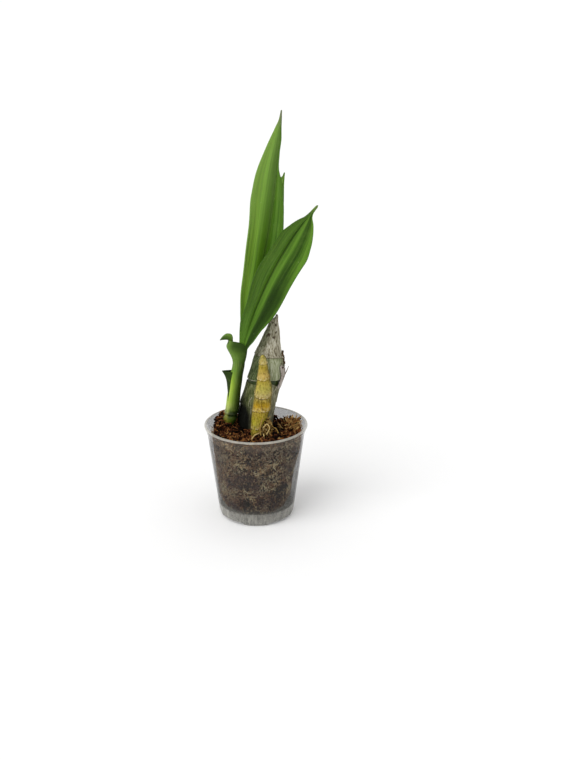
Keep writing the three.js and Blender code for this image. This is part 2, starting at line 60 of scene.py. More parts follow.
# 0.8 mm more than in the part's source
POT_HEIGHT = 84.1
BASE_RADIUS = 32.6
SHOULDER_RADIUS = 41.6
SHOULDER_Z = 70
POT_WALL = 1
LIP_HEIGHT = 2
FLOOR_Z = 9
FLOOR_THICKNESS = 1
FOOT_COUNT = 4
FOOT_NOTCH_WIDTH = 27
FOOT_NOTCH_HEIGHT = 2.4
DRAIN_COUNT = 8
DRAIN_RADIUS = 1.8
DRAIN_CIRCLE_RADIUS = 24
POT_SIDES = 128

# Potting mix
MIX_TOP_Z = 77
MIX_LUMP = 1.4
MIX_INSET = 1.4
MIX_SIDE_INSET = 2.6
LEAST_RISE = 1.6
WALL_CRUMBS = 14000
WALL_FIBRES = 3800
TOP_BITS = 4200
TOP_FIBRES = 1300
STRAWS = 130
# Middle of the heap of straws at the right, and how far it spreads along x and y
STRAW_CENTRE = (29.5, 8)
STRAW_SPREAD = (4, 5)
# Typical radius of the mix, lowest and highest place of a fibre on its side, and what stands in it
MIX_RADIUS = 38
FIBRE_LOWEST_Z = 11.2
FIBRE_HIGHEST_Z = 79
FOOTPRINTS = (((-1.4, 16.8), 15.4), ((-0.5, -11.5), 3.6), ((-24.6, 12), 5))

# Old pseudobulb: its axis, and its outline with the sheaths on, as [height, radius]
BULB_AXIS = [
    [-3, 16.6, 60], [-0.8, 16.9, 84], [2.2, 17, 100], [7.2, 17.2, 118], [9.9, 17.4, 132], [10.9, 17.6, 143],
    [12.8, 17.8, 155], [14.8, 18, 165], [16.3, 18.1, 178],
]
BULB_OUTLINE = [
    [63, 8.5], [70, 13], [78, 15.6], [90, 15.9], [108, 15.7], [120, 15.4],
    [131, 14.2], [142, 11.9], [153, 8.7], [164, 5.7], [172, 3.6], [178, 2.8],
]
BULB_FLUTES = 6
BULB_FLUTE_DEPTH = 0.35
SHEATH_DEPTH = 1.1
CORE_TIP_Z = 173

# Yellow back bulb
YELLOW_AXIS = [
    [-1.5, -11, 62], [-0.5, -11.5, 77], [2.8, -9.5, 92], [5.6, -7.6, 105], [6.9, -6.2, 122], [6.4, -3.4, 149],
]
YELLOW_OUTLINE = [
    [62, 2.6], [72, 3.1], [77, 3.7], [84, 5], [92, 6.9], [99, 7.8], [107, 7.9], [113, 7.7], [120, 7.1],
    [128, 5.6], [135, 4.6], [140, 3.9], [143, 3.3], [145.4, 2.6], [147, 1.8], [148, 1],
]
# Lower edges of its scales, as (height in front, height at the sides)
YELLOW_SCALE_EDGES = [(84, 84.5), (100.2, 99.5), (111.6, 115), (127.1, 128.3), (140.6, 141)]
YELLOW_STEP = 0.6

# New shoot
SHOOT_AXIS = [
    [-26.5, 13.2, 60], [-24.5, 12, 78], [-22.3, 11.2, 88], [-21, 10.7, 94.5], [-19.2, 9.6, 109],
    [-17.9, 8.8, 117.5], [-16.9, 8.3, 125], [-15, 7.6, 134], [-13.7, 6.9, 144], [-9.9, 5.8, 157],
    [-7.6, 5.4, 166],
]
SHOOT_OUTLINE = [
    [60, 4], [70, 4.6], [78, 5.3], [84, 5.8], [88, 5.7], [95, 6], [103, 5.9], [110, 5.7], [121, 5.6],
    [134, 5.3], [141, 5], [146, 4.3], [151, 3.2], [158, 2.6], [163, 2], [166, 1],
]
SHOOT_RING_Z = 90.4
SHOOT_SWELLING_Z = 84.5

# Leaves, worked up from those in the part's source. ripple is how deep the margins ripple, and ripples how
# often.
TIP_WIDTH = 5
BLADE_THICKNESS = 0.5
VEIN_DEPTH = 0.05
LEAVES = {
    "leaf_tall": {
        "midrib": [[-11, 9.9, 151], [1, 10.5, 198], [18, 11, 255], [22.5, 16, 349.3]],
        "widths": [
            [0, 4.2, 4.2], [0.1, 6.2, 5], [0.2, 9.6, 9], [0.3, 12.8, 13], [0.4, 14.6, 15.4],
            [0.5, 15.8, 17.4], [0.6, 16.9, 18.6], [0.7, 18.2, 17.8], [0.75, 17.4, 14.8], [0.79, 16.5, 12.9],
            [0.815, 15.5, 9.2], [0.85, 13.4, 6.6], [0.9, 9.4, 4.2], [0.95, 4.2, 1.2], [0.975, 1.8, 0.9],
            [1, 0.6, 0.6],
        ],
        "fold": [
            [0, 0, 0], [0.2, 20, 20], [0.5, 23, 23], [0.7, 28, 27], [0.77, 32.7, 25], [0.8, 34.7, 27],
            [0.83, 36.7, 36], [0.85, 38, 38], [1, 38, 38],
        ],
        "curl": [[0, 0.27], [0.12, 0.05], [0.2, 0]],
        "facing": [[0, 0], [0.3, -18], [0.6, -24], [0.75, -34], [0.85, -42], [1, -42]],
        "pleat": 0.1, "ripple": 0.5, "ripples": 4,
    },
    "leaf_inner": {
        "midrib": [[-11, 11.1, 150.5], [-3, 18, 202], [16.5, 23, 246], [24.9, 20, 298.6]],
        "widths": [
            [0, 4.2, 4.2], [0.08, 3.6, 4], [0.2, 6, 7], [0.4, 10.5, 11.5], [0.6, 12.6, 13],
            [0.7, 11, 10.4], [0.8, 8, 6.6], [0.9, 7.4, 2.6], [0.95, 6.4, 1.2], [0.968, 4, 0.9],
            [0.98, 1.4, 0.7], [1, 0.5, 0.5],
        ],
        "fold": [[0, 0], [0.3, 22], [0.7, 30], [1, 40]],
        "curl": [[0, 0.2], [0.14, 0.05], [0.22, 0]],
        "facing": [[0, 0], [1, 5]],
        "pleat": 0.1, "ripple": 0.4, "ripples": 4,
    },
    "leaf_front": {
        "midrib": [[-10.6, 2.3, 150], [-3, -2, 184], [18.5, -9, 238], [51.3, -18.6, 278.6]],
        "widths": [
            [0, 2.8, 2.8], [0.05, 4.9, 4.6], [0.1, 6.5, 7], [0.2, 10.5, 10.3], [0.25, 12.3, 12.7],
            [0.35, 13.2, 16.2], [0.5, 16.6, 17.8], [0.6, 17.8, 18.5], [0.7, 16.2, 18.6], [0.8, 15.3, 15.4],
            [0.85, 11.6, 12.4], [0.9, 7.6, 7.8], [0.93, 3.8, 3.7], [0.955, 3, 2.3], [0.985, 2.9, 2.1],
            [1, 1, 1],
        ],
        "fold": [[0, 22, 22], [0.3, 20, 23], [0.5, 13, 22], [0.85, 9, 26], [1, 14, 14]],
        "curl": [[0, 0]],
        "facing": [[0, 4], [0.25, 13], [0.5, 18], [0.85, 20], [1, 44]],
        "pleat": 0.12, "ripple": 0.6, "ripples": 3,
    },
}

# Roots at the foot of the yellow back bulb
ROOT_RADIUS = 0.9
ROOT_KNOT = {"centre": (7.6, -9.6, 84), "radii": (5, 4.6, 9.5)}
ROOTS = [
    [[6, -13, 84], [7.3, -17, 87.4], [9.9, -18, 90.3], [12.1, -18, 86.8], [11, -17.5, 83.4], [9.5, -18, 81]],
    [[7, -12, 95], [5.7, -17.2, 94], [4.4, -17.6, 89], [3.9, -17.8, 84.6], [4.6, -18, 80]],
    [[4.5, -13, 81], [2.6, -17.4, 81.4], [-0.4, -19.4, 80.8], [-2.5, -23, 79.6], [-3.6, -25.8, 78.2],
     [-3.8, -26.6, 73]],
    [[10, -8, 86], [13, -7.6, 86.6], [15, -8.6, 83.6], [17.2, -9.6, 83], [19.6, -10.4, 79]],
    [[6, -12.5, 80], [7, -17.6, 80.4], [7.4, -20.8, 78.6], [6.6, -22.6, 72]],
]


def along(stations, t, column=1):
    """Value at t of a smooth curve through stations, as in the part's source."""
    last = len(stations) - 1
    if last == 0 or t <= stations[0][0]:
        return stations[0][column]
    if t >= stations[last][0]:
        return stations[last][column]
    i = next(k for k in range(last + 1) if stations[k][0] > t) - 1

    def slope(a, b):
        return (stations[b][column] - stations[a][column]) / (stations[b][0] - stations[a][0])

    def tangent(k):
        if k == 0:
            return slope(0, 1)
        if k == last:
            return slope(last - 1, last)
        before = slope(k - 1, k)
        after = slope(k, k + 1)
        return 0 if before * after <= 0 else 2 * before * after / (before + after)

    span = stations[i + 1][0] - stations[i][0]
    u = (t - stations[i][0]) / span
    start_value = stations[i][column]
    rise = stations[i + 1][column] - start_value
    start = tangent(i) * span
    end = tangent(i + 1) * span
    return start_value + u * (start + u * (3 * rise - 2 * start - end + u * (start + end - 2 * rise)))


def smoothstep(value, low, high):
    x = min(max((value - low) / (high - low), 0), 1)
    return x * x * (3 - 2 * x)


def evenly(low, high, count):
    return [low + (high - low) * i / count for i in range(count + 1)]


def polar(r, angle):
    return r * math.cos(angle), r * math.sin(angle)


def halfway_angles(count):
    """Angles of count places evenly round the axis, the first half a step from the right."""
    return [(k + 0.5) * 2 * math.pi / count for k in range(count)]


def to_frame(point):
    return (POT_AXIS.x + point[0] * MM, POT_AXIS.y + point[1] * MM, point[2] * MM)


def axis_through(points):
    xs = [[z, x] for x, _, z in points]
    ys = [[z, y] for _, y, z in points]
    return lambda z: (along(xs, z), along(ys, z))


def wave(x, y, z):
    """A cheap smooth bump between about -1 and 1, for lumps that no formula in the source gives."""
    return (
        math.sin(1.7 * x + 0.9 * z) * math.cos(1.3 * y - 0.7 * z)
        + 0.6 * math.sin(2.9 * x - 2.3 * y + 1.1)
        + 0.4 * math.cos(4.1 * y + 3.7 * z + 0.5)
    ) / 2


# Materials: every one is a Principled surface with its own pattern, grain and bump

class Surface:
    """A material under construction. Colours are sRGB values from 0 to 255, as they show on the stage."""

    def __init__(self, name, roughness=0.5, specular=0.5):
        self.material = bpy.data.materials.new(name)
        self.material.use_nodes = True
        self.tree = self.material.node_tree
        self.shader = self.tree.nodes["Principled BSDF"]
        self.shader.inputs["Roughness"].default_value = roughness
        self.shader.inputs["Specular IOR Level"].default_value = specular
        self.places = self.tree.nodes.new("ShaderNodeTexCoord").outputs["Object"]

    def node(self, kind, **settings):
        made = self.tree.nodes.new(kind)
        for key, value in settings.items():
            setattr(made, key, value)
        return made

    def feed(self, socket, value):
        """Gives a socket a number, a colour, or the output of another node."""
        if isinstance(value, tuple):
            socket.default_value = linear(value)
        elif isinstance(value, (int, float)):
            socket.default_value = value
        else:
            self.tree.links.new(value, socket)

    def scaled(self, scale, source=None):
        """Coordinates in which a pattern repeats scale times per metre, or per unit of the UV map."""
        mapping = self.node("ShaderNodeMapping")
        mapping.inputs["Scale"].default_value = scale
        self.feed(mapping.inputs["Vector"], source or self.places)
        return mapping.outputs["Vector"]

    def noise(self, scale, detail=4, roughness=0.6, source=None):
        made = self.node("ShaderNodeTexNoise")
        made.inputs["Scale"].default_value = 1
        made.inputs["Detail"].default_value = detail
        made.inputs["Roughness"].default_value = roughness
        self.feed(made.inputs["Vector"], self.scaled(scale, source))
        return made.outputs["Fac"]

    def ramp(self, factor, stops, gain=STAGE_GAIN):
        """Colours along a factor: stops are (position, (r, g, b))."""
        made = self.node("ShaderNodeValToRGB")
        elements = made.color_ramp.elements
        while len(elements) < len(stops):
            elements.new(0.5)
        for element, (position, colour) in zip(elements, stops):
            element.position = position
            element.color = linear(colour, gain)
        self.feed(made.inputs["Fac"], factor)
        return made.outputs["Color"]

    def levels(self, factor, low, high, to_low=0.0, to_high=1.0):
        made = self.node("ShaderNodeMapRange")
        for key, value in zip(("From Min", "From Max", "To Min", "To Max"), (low, high, to_low, to_high)):
            made.inputs[key].default_value = value
        self.feed(made.inputs["Value"], factor)
        return made.outputs["Result"]

    def mix(self, first, second, factor):
        """The first colour, turning into the second as the factor goes to one."""
        made = self.node("ShaderNodeMixRGB")
        self.feed(made.inputs["Color1"], first)
        self.feed(made.inputs["Color2"], second)
        self.feed(made.inputs["Fac"], factor)
        return made.outputs["Color"]

    def coats(self, colour, *coats):
        """Lays coats over a colour. Each is its colour, a pattern, and the levels that turn it into cover."""
        for coat, pattern, *levels in coats:
            colour = self.mix(colour, coat, self.levels(pattern, *levels))
        return colour

    def maths(self, operation, first, second):
        made = self.node("ShaderNodeMath", operation=operation)
        self.feed(made.inputs[0], first)
        self.feed(made.inputs[1], second)
        return made.outputs[0]

    def attribute(self, name):
        return self.node("ShaderNodeAttribute", attribute_name=name).outputs["Fac"]

    def split(self, vector):
        made = self.node("ShaderNodeSeparateXYZ")
        self.feed(made.inputs["Vector"], vector)
        return made.outputs

    def finish(self, colour, height=None, bump=0.3, distance=0.0004, roughness=None):
        self.feed(self.shader.inputs["Base Color"], colour)
        if height is not None:
            made = self.node("ShaderNodeBump")
            made.inputs["Strength"].default_value = bump
            made.inputs["Distance"].default_value = distance
            self.feed(made.inputs["Height"], height)
            self.feed(self.shader.inputs["Normal"], made.outputs["Normal"])
        if roughness is not None:
            self.feed(self.shader.inputs["Roughness"], roughness)
        return self.material


def linear(colour, gain=STAGE_GAIN):
    """sRGB from 0 to 255 as the values that a shader takes, less what the stage's light adds."""
    values = []
    for channel in colour:
        c = channel / 255
        values.append((c / 12.92 if c <= 0.04045 else ((c + 0.055) / 1.055) ** 2.4) / gain)
    return (*values, 1)


def leaf_finish(name, stops, tip, pale, painted_shadow_across, painted_shadow_heights, dark):
    """Green blade: its colour runs across it by the UV map, with the painted shading of its folds in that
    ramp, and fine parallel veins along it.

    pale is how much its left side fades towards the tip. The last three arguments paint a shadow on it: the
    two places across it between which it lies, the heights over which it fades upwards, and how dark it is.
    """
    s = Surface(name, roughness=0.42, specular=0.12)
    uv = s.node("ShaderNodeUVMap", uv_map="blade").outputs["UV"]
    axes = s.split(uv)
    across = s.ramp(axes["X"], stops)
    streaks = s.noise((90, 2.2, 1), detail=3, source=uv)
    broad = s.noise((24, 3, 1), detail=2, source=uv)
    blotch = s.noise((60, 60, 60), detail=4)
    specks = s.noise((420, 420, 420), detail=1)
    colour = s.coats(
        across,
        ((142, 176, 78), streaks, 0.5, 0.7, 0, 0.32),
        ((34, 66, 12), broad, 0.35, 0.55, 0.42, 0),
        ((104, 140, 54), blotch, 0.5, 0.8, 0, 0.3))
    left = s.levels(axes["X"], 0.48, 0.62, 1, 0.3)
    colour = s.mix(colour, (134, 168, 84), s.maths("MULTIPLY", s.levels(axes["Y"], 0.5, 0.85, 0, pale), left))
    colour = s.mix(colour, (98, 146, 40), s.maths("MULTIPLY", s.levels(axes["Y"], 0.12, 0.34, 0.5, 0), left))
    # Painted shadow: darker low down, between two places across the blade
    start, end = painted_shadow_across
    side = s.maths("MULTIPLY", s.levels(axes["X"], start, start + 0.07),
                   s.levels(axes["X"], end, end + 0.12, 1, 0))
    shade = s.maths("MULTIPLY", side, s.levels(axes["Y"], *painted_shadow_heights, dark, 0))
    colour = s.mix(colour, (34, 62, 2), shade)
    colour = s.coats(
        colour,
        ((176, 196, 140), specks, 0.76, 0.8, 0, 0.4),
        (tip, axes["Y"], 0.945, 0.985, 0, 0.75))
    veins = s.node("ShaderNodeTexWave", wave_type="BANDS", bands_direction="X", wave_profile="SIN")
    veins.inputs["Scale"].default_value = 4.4
    veins.inputs["Distortion"].default_value = 0.2
    s.feed(veins.inputs["Vector"], s.scaled((1, 1, 1), uv))
    height = s.maths("ADD", s.maths("MULTIPLY", veins.outputs["Fac"], 0.7), streaks)
    s.shader.inputs["Subsurface Weight"].default_value = 0.1
    s.shader.inputs["Subsurface Scale"].default_value = 0.001
    s.shader.inputs["Subsurface Radius"].default_value = (0.4, 1.0, 0.2)
    rough = s.levels(streaks, 0.3, 0.7, 0.36, 0.52)
    return s.finish(colour, height, bump=0.3, distance=0.00022, roughness=rough)


def shoot_finish():
    """Yellow-green, darker at the top and below the ring; painted shade darkens its right side, away from the
    light.
    """
    s = Surface("shoot_skin", roughness=0.4, specular=0.25)
    places = s.split(s.places)
    body = s.ramp(s.levels(places["Z"], 0.078, 0.165), [
        (0.0, (116, 90, 30)), (0.05, (122, 112, 38)), (0.1, (120, 124, 38)), (0.16, (144, 156, 74)),
        (0.22, (182, 200, 100)), (0.3, (174, 202, 70)), (0.44, (168, 200, 56)), (0.53, (138, 174, 44)),
        (0.61, (108, 144, 42)), (0.7, (92, 124, 40)), (1.0, (82, 112, 36)),
    ])
    side = s.attribute("side")
    streaks = s.noise((900, 900, 35), detail=3)
    colour = s.coats(
        body,
        # Painted shade: darker, then near black green, towards the right side, away from the light
        ((74, 110, 14), side, 0.3, 0.6, 0, 0.6),
        ((38, 60, 8), side, 0.5, 0.9, 0, 0.92),
        ((170, 188, 92), streaks, 0.52, 0.75, 0, 0.3),
        ((190, 196, 140), s.attribute("scar"), 0.0, 1.0, 0, 0.6))
    # Dark green smears low down on the shoot
    smear = s.noise((230, 230, 150), detail=4)
    low = s.levels(places["Z"], 0.1, 0.088, 0, 1)
    low_dark_smear = s.maths("MULTIPLY", s.levels(smear, 0.5, 0.58), low)
    colour = s.mix(colour, (38, 62, 20), s.maths("MULTIPLY", low_dark_smear, 0.7))
    # Painted shade just under the ring, on the shoot's right side
    under_ring = s.maths("MULTIPLY", s.levels(places["Z"], 0.0945, 0.0915, 0, 1),
                         s.levels(places["Z"], 0.086, 0.089))
    painted_shade_under_ring = s.maths("MULTIPLY", s.levels(side, 0.3, 0.5), under_ring)
    colour = s.mix(colour, (16, 34, 2), s.maths("MULTIPLY", painted_shade_under_ring, 0.85))
    s.shader.inputs["Subsurface Weight"].default_value = 0.1
    s.shader.inputs["Subsurface Scale"].default_value = 0.001
    return s.finish(colour, streaks, bump=0.25, distance=0.0003)


def bract_finish(name, stops, shadow):
    """Green bract: its colour runs across it by the UV map, and darkens under its rim in front by shadow."""
    s = Surface(name, roughness=0.45, specular=0.12)
    uv = s.node("ShaderNodeUVMap", uv_map="blade").outputs["UV"]
    axes = s.split(uv)
    streaks = s.noise((40, 2, 1), detail=3, source=uv)
    blotch = s.noise((200, 200, 200), detail=3)
    skin = s.coats(
        s.ramp(axes["X"], stops),
        ((34, 58, 12), streaks, 0.5, 0.8, 0, 0.35),
        ((120, 150, 70), blotch, 0.52, 0.8, 0, 0.3))
    under_rim = s.maths("MULTIPLY", s.levels(axes["Y"], 0.5, 0.8), s.levels(axes["X"], 0.42, 0.3, 0, 1))
    skin = s.mix(skin, (44, 70, 12), s.maths("MULTIPLY", under_rim, shadow))
    return s.finish(skin, streaks, bump=0.3, distance=0.0003)


def green_bulb_finish():
    """The living skin that shows between the sheaths: dark green, with a grey film."""
    s = Surface("pseudobulb_skin", roughness=0.5, specular=0.25)
    streaks = s.noise((420, 420, 45), detail=5)
    blotch = s.noise((120, 120, 90), detail=4)
    colour = s.mix((34, 50, 10), (72, 88, 34), s.levels(streaks, 0.35, 0.7))
    colour = s.mix(colour, (104, 108, 76), s.levels(blotch, 0.58, 0.78, 0, 0.5))
    return s.finish(colour, streaks, bump=0.5, distance=0.0005)


def sheath_finish(name, thick, thin, edge):
    """Dry sheath, with brown scars, torn edges and a near black painted shadow that follow attributes.

    thick and thin are ramps of colour along its fibres, where it is opaque and where it is a veil over the
    green bulb.
    """
    s = Surface(name, roughness=0.8, specular=0.15)
    fibres = s.noise((520, 520, 24), detail=6, roughness=0.7)
    fine = s.noise((1400, 1400, 110), detail=4)
    blotch = s.noise((150, 150, 80), detail=5)
    shades = s.maths("ADD", fibres, s.levels(fine, 0.3, 0.7, -0.13, 0.13))
    dry = s.ramp(shades, [(0.34, thick[0]), (0.48, thick[1]), (0.64, thick[2])])
    green = s.ramp(shades, [(0.36, thin[0]), (0.5, thin[1]), (0.68, thin[2])])
    veil = s.maths("ADD", s.attribute("veil"), s.levels(blotch, 0.3, 0.7, -0.35, 0.35))
    colour = s.mix(green, dry, s.levels(veil, 0.25, 0.75))
    crumbs = s.noise((600, 600, 420), detail=6, roughness=0.75)
    scars = s.maths("ADD", s.attribute("scars"), s.levels(crumbs, 0.3, 0.7, -0.5, 0.5))
    colour = s.coats(
        colour,
        ((62, 46, 26), scars, 0.45, 0.7, 0, 0.9),
        ((80, 70, 52), crumbs, 0.6, 0.68, 0, 0.6),
        ((206, 202, 178), crumbs, 0.4, 0.34, 0, 0.5),
        (edge, s.attribute("edge"), 0.25, 1.0, 0, 0.75),
        # Painted shadow: near black on the old bulb's lower left side
        ((7, 9, 2), s.attribute("painted_shadow"), 0.0, 0.9))
    height = s.maths("ADD", fibres, s.maths("MULTIPLY", fine, 0.6))
    return s.finish(colour, height, bump=0.9, distance=0.0008)


def yellow_finish():
    """Golden skin in scales: painted shade darkens its sides to olive; cream specks near each scale's edge,
    dark in the steps.
    """
    s = Surface("back_bulb_skin", roughness=0.55, specular=0.1)
    places = s.split(s.places)
    low, high = 0.076, 0.150
    heights = [
        (0.078, (116, 98, 24)), (0.084, (166, 154, 46)), (0.09, (186, 176, 54)), (0.096, (152, 136, 22)),
        (0.1015, (186, 160, 64)), (0.1045, (200, 158, 10)), (0.109, (140, 118, 26)), (0.114, (180, 166, 98)),
        (0.12, (184, 176, 82)), (0.1265, (166, 148, 50)), (0.131, (192, 164, 88)), (0.138, (166, 146, 42)),
        (0.143, (190, 178, 104)), (0.149, (158, 152, 72)),
    ]
    body = s.ramp(s.levels(places["Z"], low, high), [((z - low) / (high - low), c) for z, c in heights])
    blotch = s.noise((260, 260, 130), detail=4)
    streaks = s.noise((760, 760, 130), detail=5)
    crust = s.noise((520, 520, 400), detail=5, roughness=0.7)
    colour = s.coats(
        body,
        ((104, 94, 30), blotch, 0.5, 0.68, 0, 0.7),
        # Painted shade: darker olive towards the sides, away from the front
        ((84, 82, 22), s.attribute("side"), 0.1, 0.9, 0, 0.9),
        ((206, 186, 92), streaks, 0.5, 0.7, 0, 0.5),
        ((84, 62, 22), streaks, 0.34, 0.44, 0.6, 0),
        ((216, 184, 88), crust, 0.54, 0.62, 0, 0.55),
        ((104, 82, 22), crust, 0.46, 0.38, 0, 0.65))
    specks = s.noise((820, 820, 560), detail=3)
    cream = s.maths("MULTIPLY", s.levels(specks, 0.48, 0.56), s.levels(s.attribute("rim"), 0.1, 0.8))
    colour = s.mix(colour, (220, 200, 150), s.maths("MULTIPLY", cream, 0.7))
    grains = s.maths("MULTIPLY", s.levels(specks, 0.36, 0.42, 1, 0), s.levels(s.attribute("rim"), 0.0, 0.5))
    colour = s.mix(colour, (150, 96, 40), s.maths("MULTIPLY", grains, 0.7))
    broken = s.maths("ADD", s.attribute("step"), s.levels(blotch, 0.3, 0.7, -0.3, 0.3))
    colour = s.mix(colour, (56, 40, 14), s.levels(broken, 0.3, 0.9, 0, 0.9))
    return s.finish(colour, s.maths("ADD", streaks, specks), bump=0.6, distance=0.0006)


def husk_finish(name, stops, red=0.0, grey=0.0):
    """Coir and husk, redder and greyer in patches. The shade attribute is each bit's place on the ramp."""
    s = Surface(name, roughness=0.9, specular=0.08)
    grain = s.noise((900, 900, 900), detail=4)
    place = s.maths("ADD", s.attribute("shade"), s.levels(grain, 0.3, 0.7, -0.12, 0.12))
    patches = s.noise((55, 55, 55), detail=3)
    colour = s.mix(s.ramp(place, stops), (128, 70, 54), s.levels(patches, 0.45, 0.6, 0, red))
    if grey:
        others = s.noise((34, 34, 46), detail=2)
        colour = s.mix(colour, (112, 88, 90), s.levels(others, 0.46, 0.6, 0, grey))
    return s.finish(colour, grain, bump=0.8, distance=0.0006)


def paper_finish():
    """Thin torn paper: whitish pink, with grey fibres."""
    s = Surface("torn_paper", roughness=0.75, specular=0.2)
    fibres = s.noise((500, 500, 60), detail=5)
    return s.finish(s.ramp(fibres, [(0.3, (120, 100, 86)), (0.5, (184, 174, 164)), (0.7, (222, 216, 206))]),
                    fibres, bump=0.5, distance=0.0004)


def plastic_finish(name, alpha, colour, roughness, clouding=0.18, edge_haze=0.0):
    """Frosted clear plastic: greyish and thinly see-through, with faint clouds and scuffs.

    edge_haze is how much less see-through it is where it is seen edge-on.
    """
    s = Surface(name, roughness=roughness, specular=0.22)
    clouds = s.noise((60 + 900 * clouding, 60 + 900 * clouding, 60), detail=4)
    scuffs = s.noise((260, 260, 900), detail=3)
    darker = tuple((1 - clouding) * c for c in colour)
    haze = s.mix(colour, darker, s.levels(clouds, 0.35, 0.7))
    s.shader.inputs["Alpha"].default_value = alpha
    if edge_haze:
        edge_on = s.node("ShaderNodeLayerWeight").outputs["Facing"]
        # Near the floor the wall is hazier and lighter grey: partly thicker frosted plastic, partly painted
        # light in the shade under the mix
        low = s.levels(s.split(s.places)["Z"], 0.011, 0.018, 0.75, 0)
        hazier = s.maths("ADD", s.levels(edge_on, 0.3, 0.9, alpha, alpha + edge_haze),
                         s.maths("MULTIPLY", low, 0.16))
        s.feed(s.shader.inputs["Alpha"], hazier)
        haze = s.mix(haze, (136, 134, 126), low)
    rough = s.levels(scuffs, 0.3, 0.7, roughness - 0.06, roughness + 0.12)
    return s.finish(haze, clouds, bump=0.15, distance=0.0006, roughness=rough)


# Building

def deselect():
    if bpy.context.object and bpy.context.object.mode != "OBJECT":
        bpy.ops.object.mode_set(mode="OBJECT")
    bpy.ops.object.select_all(action="DESELECT")


def only(piece):
    deselect()
    piece.select_set(True)
    bpy.context.view_layer.objects.active = piece


def settle(piece):
    """Puts the piece's place, turn and size into its mesh."""
    only(piece)
    bpy.ops.object.transform_apply(location=True, rotation=True, scale=True)


def refine(piece, kind, **settings):
    """Adds a modifier and applies it."""
    only(piece)
    modifier = piece.modifiers.new(kind.lower(), kind)
    for key, value in settings.items():
        setattr(modifier, key, value)
    bpy.ops.object.modifier_apply(modifier=modifier.name)


def dress(piece, material, slot, *nodes):
    piece.data.materials.clear()
    piece.data.materials.append(material)
    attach(piece, "root")
    if nodes:
        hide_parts(*nodes)
    return piece


def mesh_piece(name, points, faces):
    """A piece from points in millimetres and faces."""
    mesh = bpy.data.meshes.new(name)
    mesh.from_pydata([to_frame(p) for p in points], [], faces)
    mesh.update()
    piece = bpy.data.objects.new(name, mesh)
    bpy.context.collection.objects.link(piece)
    mesh.shade_smooth()
    return piece


def ring_faces(rings, sides, closed=False):
    """Faces between rings of points. The last ring joins the first, or else both ends are capped."""
    faces = []
    for r in range(rings if closed else rings - 1):
        onwards = sides if r < rings - 1 else -r * sides
        for k in range(sides):
            a, b = r * sides + k, r * sides + (k + 1) % sides
            faces.append((a, b, b + onwards, a + onwards))
    if not closed:
        faces.append(tuple(reversed(range(sides))))
        faces.append(tuple(range((rings - 1) * sides, rings * sides)))
    return faces


def set_attribute(piece, name, values):
    layer = piece.data.attributes.new(name, "FLOAT", "POINT")
    layer.data.foreach_set("value", np.asarray(values, dtype=np.float32))


def local_points(piece):
    """The piece's vertices in millimetres from the pot's axis."""
    flat = np.empty(len(piece.data.vertices) * 3)
    piece.data.vertices.foreach_get("co", flat)
    return (flat.reshape(-1, 3) - np.array(POT_AXIS)) / MM


def move_points(piece, points):
    flat = np.array(points) * MM + np.array(POT_AXIS)
    piece.data.vertices.foreach_set("co", flat.ravel())
    piece.data.update()


def column(name, heights, sides, axis, radius):
    """A closed column: a filled circle, extruded ring by ring along the axis."""
    deselect()
    x, y = axis(heights[0])
    place = to_frame((x, y, heights[0]))
    bpy.ops.mesh.primitive_circle_add(
        vertices=sides, radius=radius(heights[0]) * MM, fill_type="NGON", location=place)
    piece = bpy.context.object
    piece.name = name
    bpy.ops.object.mode_set(mode="EDIT")
    bpy.ops.mesh.select_all(action="SELECT")
    for low, high in zip(heights, heights[1:]):
        before = Vector(to_frame((*axis(low), low)))
        after = Vector(to_frame((*axis(high), high)))
        bpy.ops.mesh.extrude_region_move(TRANSFORM_OT_translate={"value": after - before})
        share = radius(high) / radius(low)
        bpy.ops.transform.resize(value=(share, share, 1), center_override=after)
    bpy.ops.mesh.select_all(action="SELECT")
    bpy.ops.mesh.normals_make_consistent(inside=False)
    settle(piece)
    return piece


def round_about(piece, axis):
    """For each vertex: its angle about the axis at its own height, and its distance from the axis there."""
    points = local_points(piece)
    centres = np.array([axis(z) for z in points[:, 2]])
    away = points[:, :2] - centres
    return points, centres, np.arctan2(away[:, 1], away[:, 0]), np.hypot(away[:, 0], away[:, 1])


def scale_about(piece, axis, change):
    """Moves each vertex outwards from the axis by change(z, angle, radius) in millimetres."""
    points, centres, angles, radii = round_about(piece, axis)
    for i, (z, angle, r) in enumerate(zip(points[:, 2], angles, radii)):
        if r > 0.05:
            moved = (r + change(z, angle, r)) / r
            points[i, :2] = centres[i] + (points[i, :2] - centres[i]) * moved
    move_points(piece, points)


# Pot

def wall_radius(z):
    return BASE_RADIUS + (SHOULDER_RADIUS - BASE_RADIUS) * z / SHOULDER_Z


def inside_radius(z):
    return along([
        [0, BASE_RADIUS - POT_WALL], [SHOULDER_Z, SHOULDER_RADIUS - POT_WALL], [76, SHOULDER_RADIUS - 0.4],
        [79.5, SHOULDER_RADIUS + 0.7], [82.5, RIM_RADIUS - LIP_HEIGHT],
    ], z)


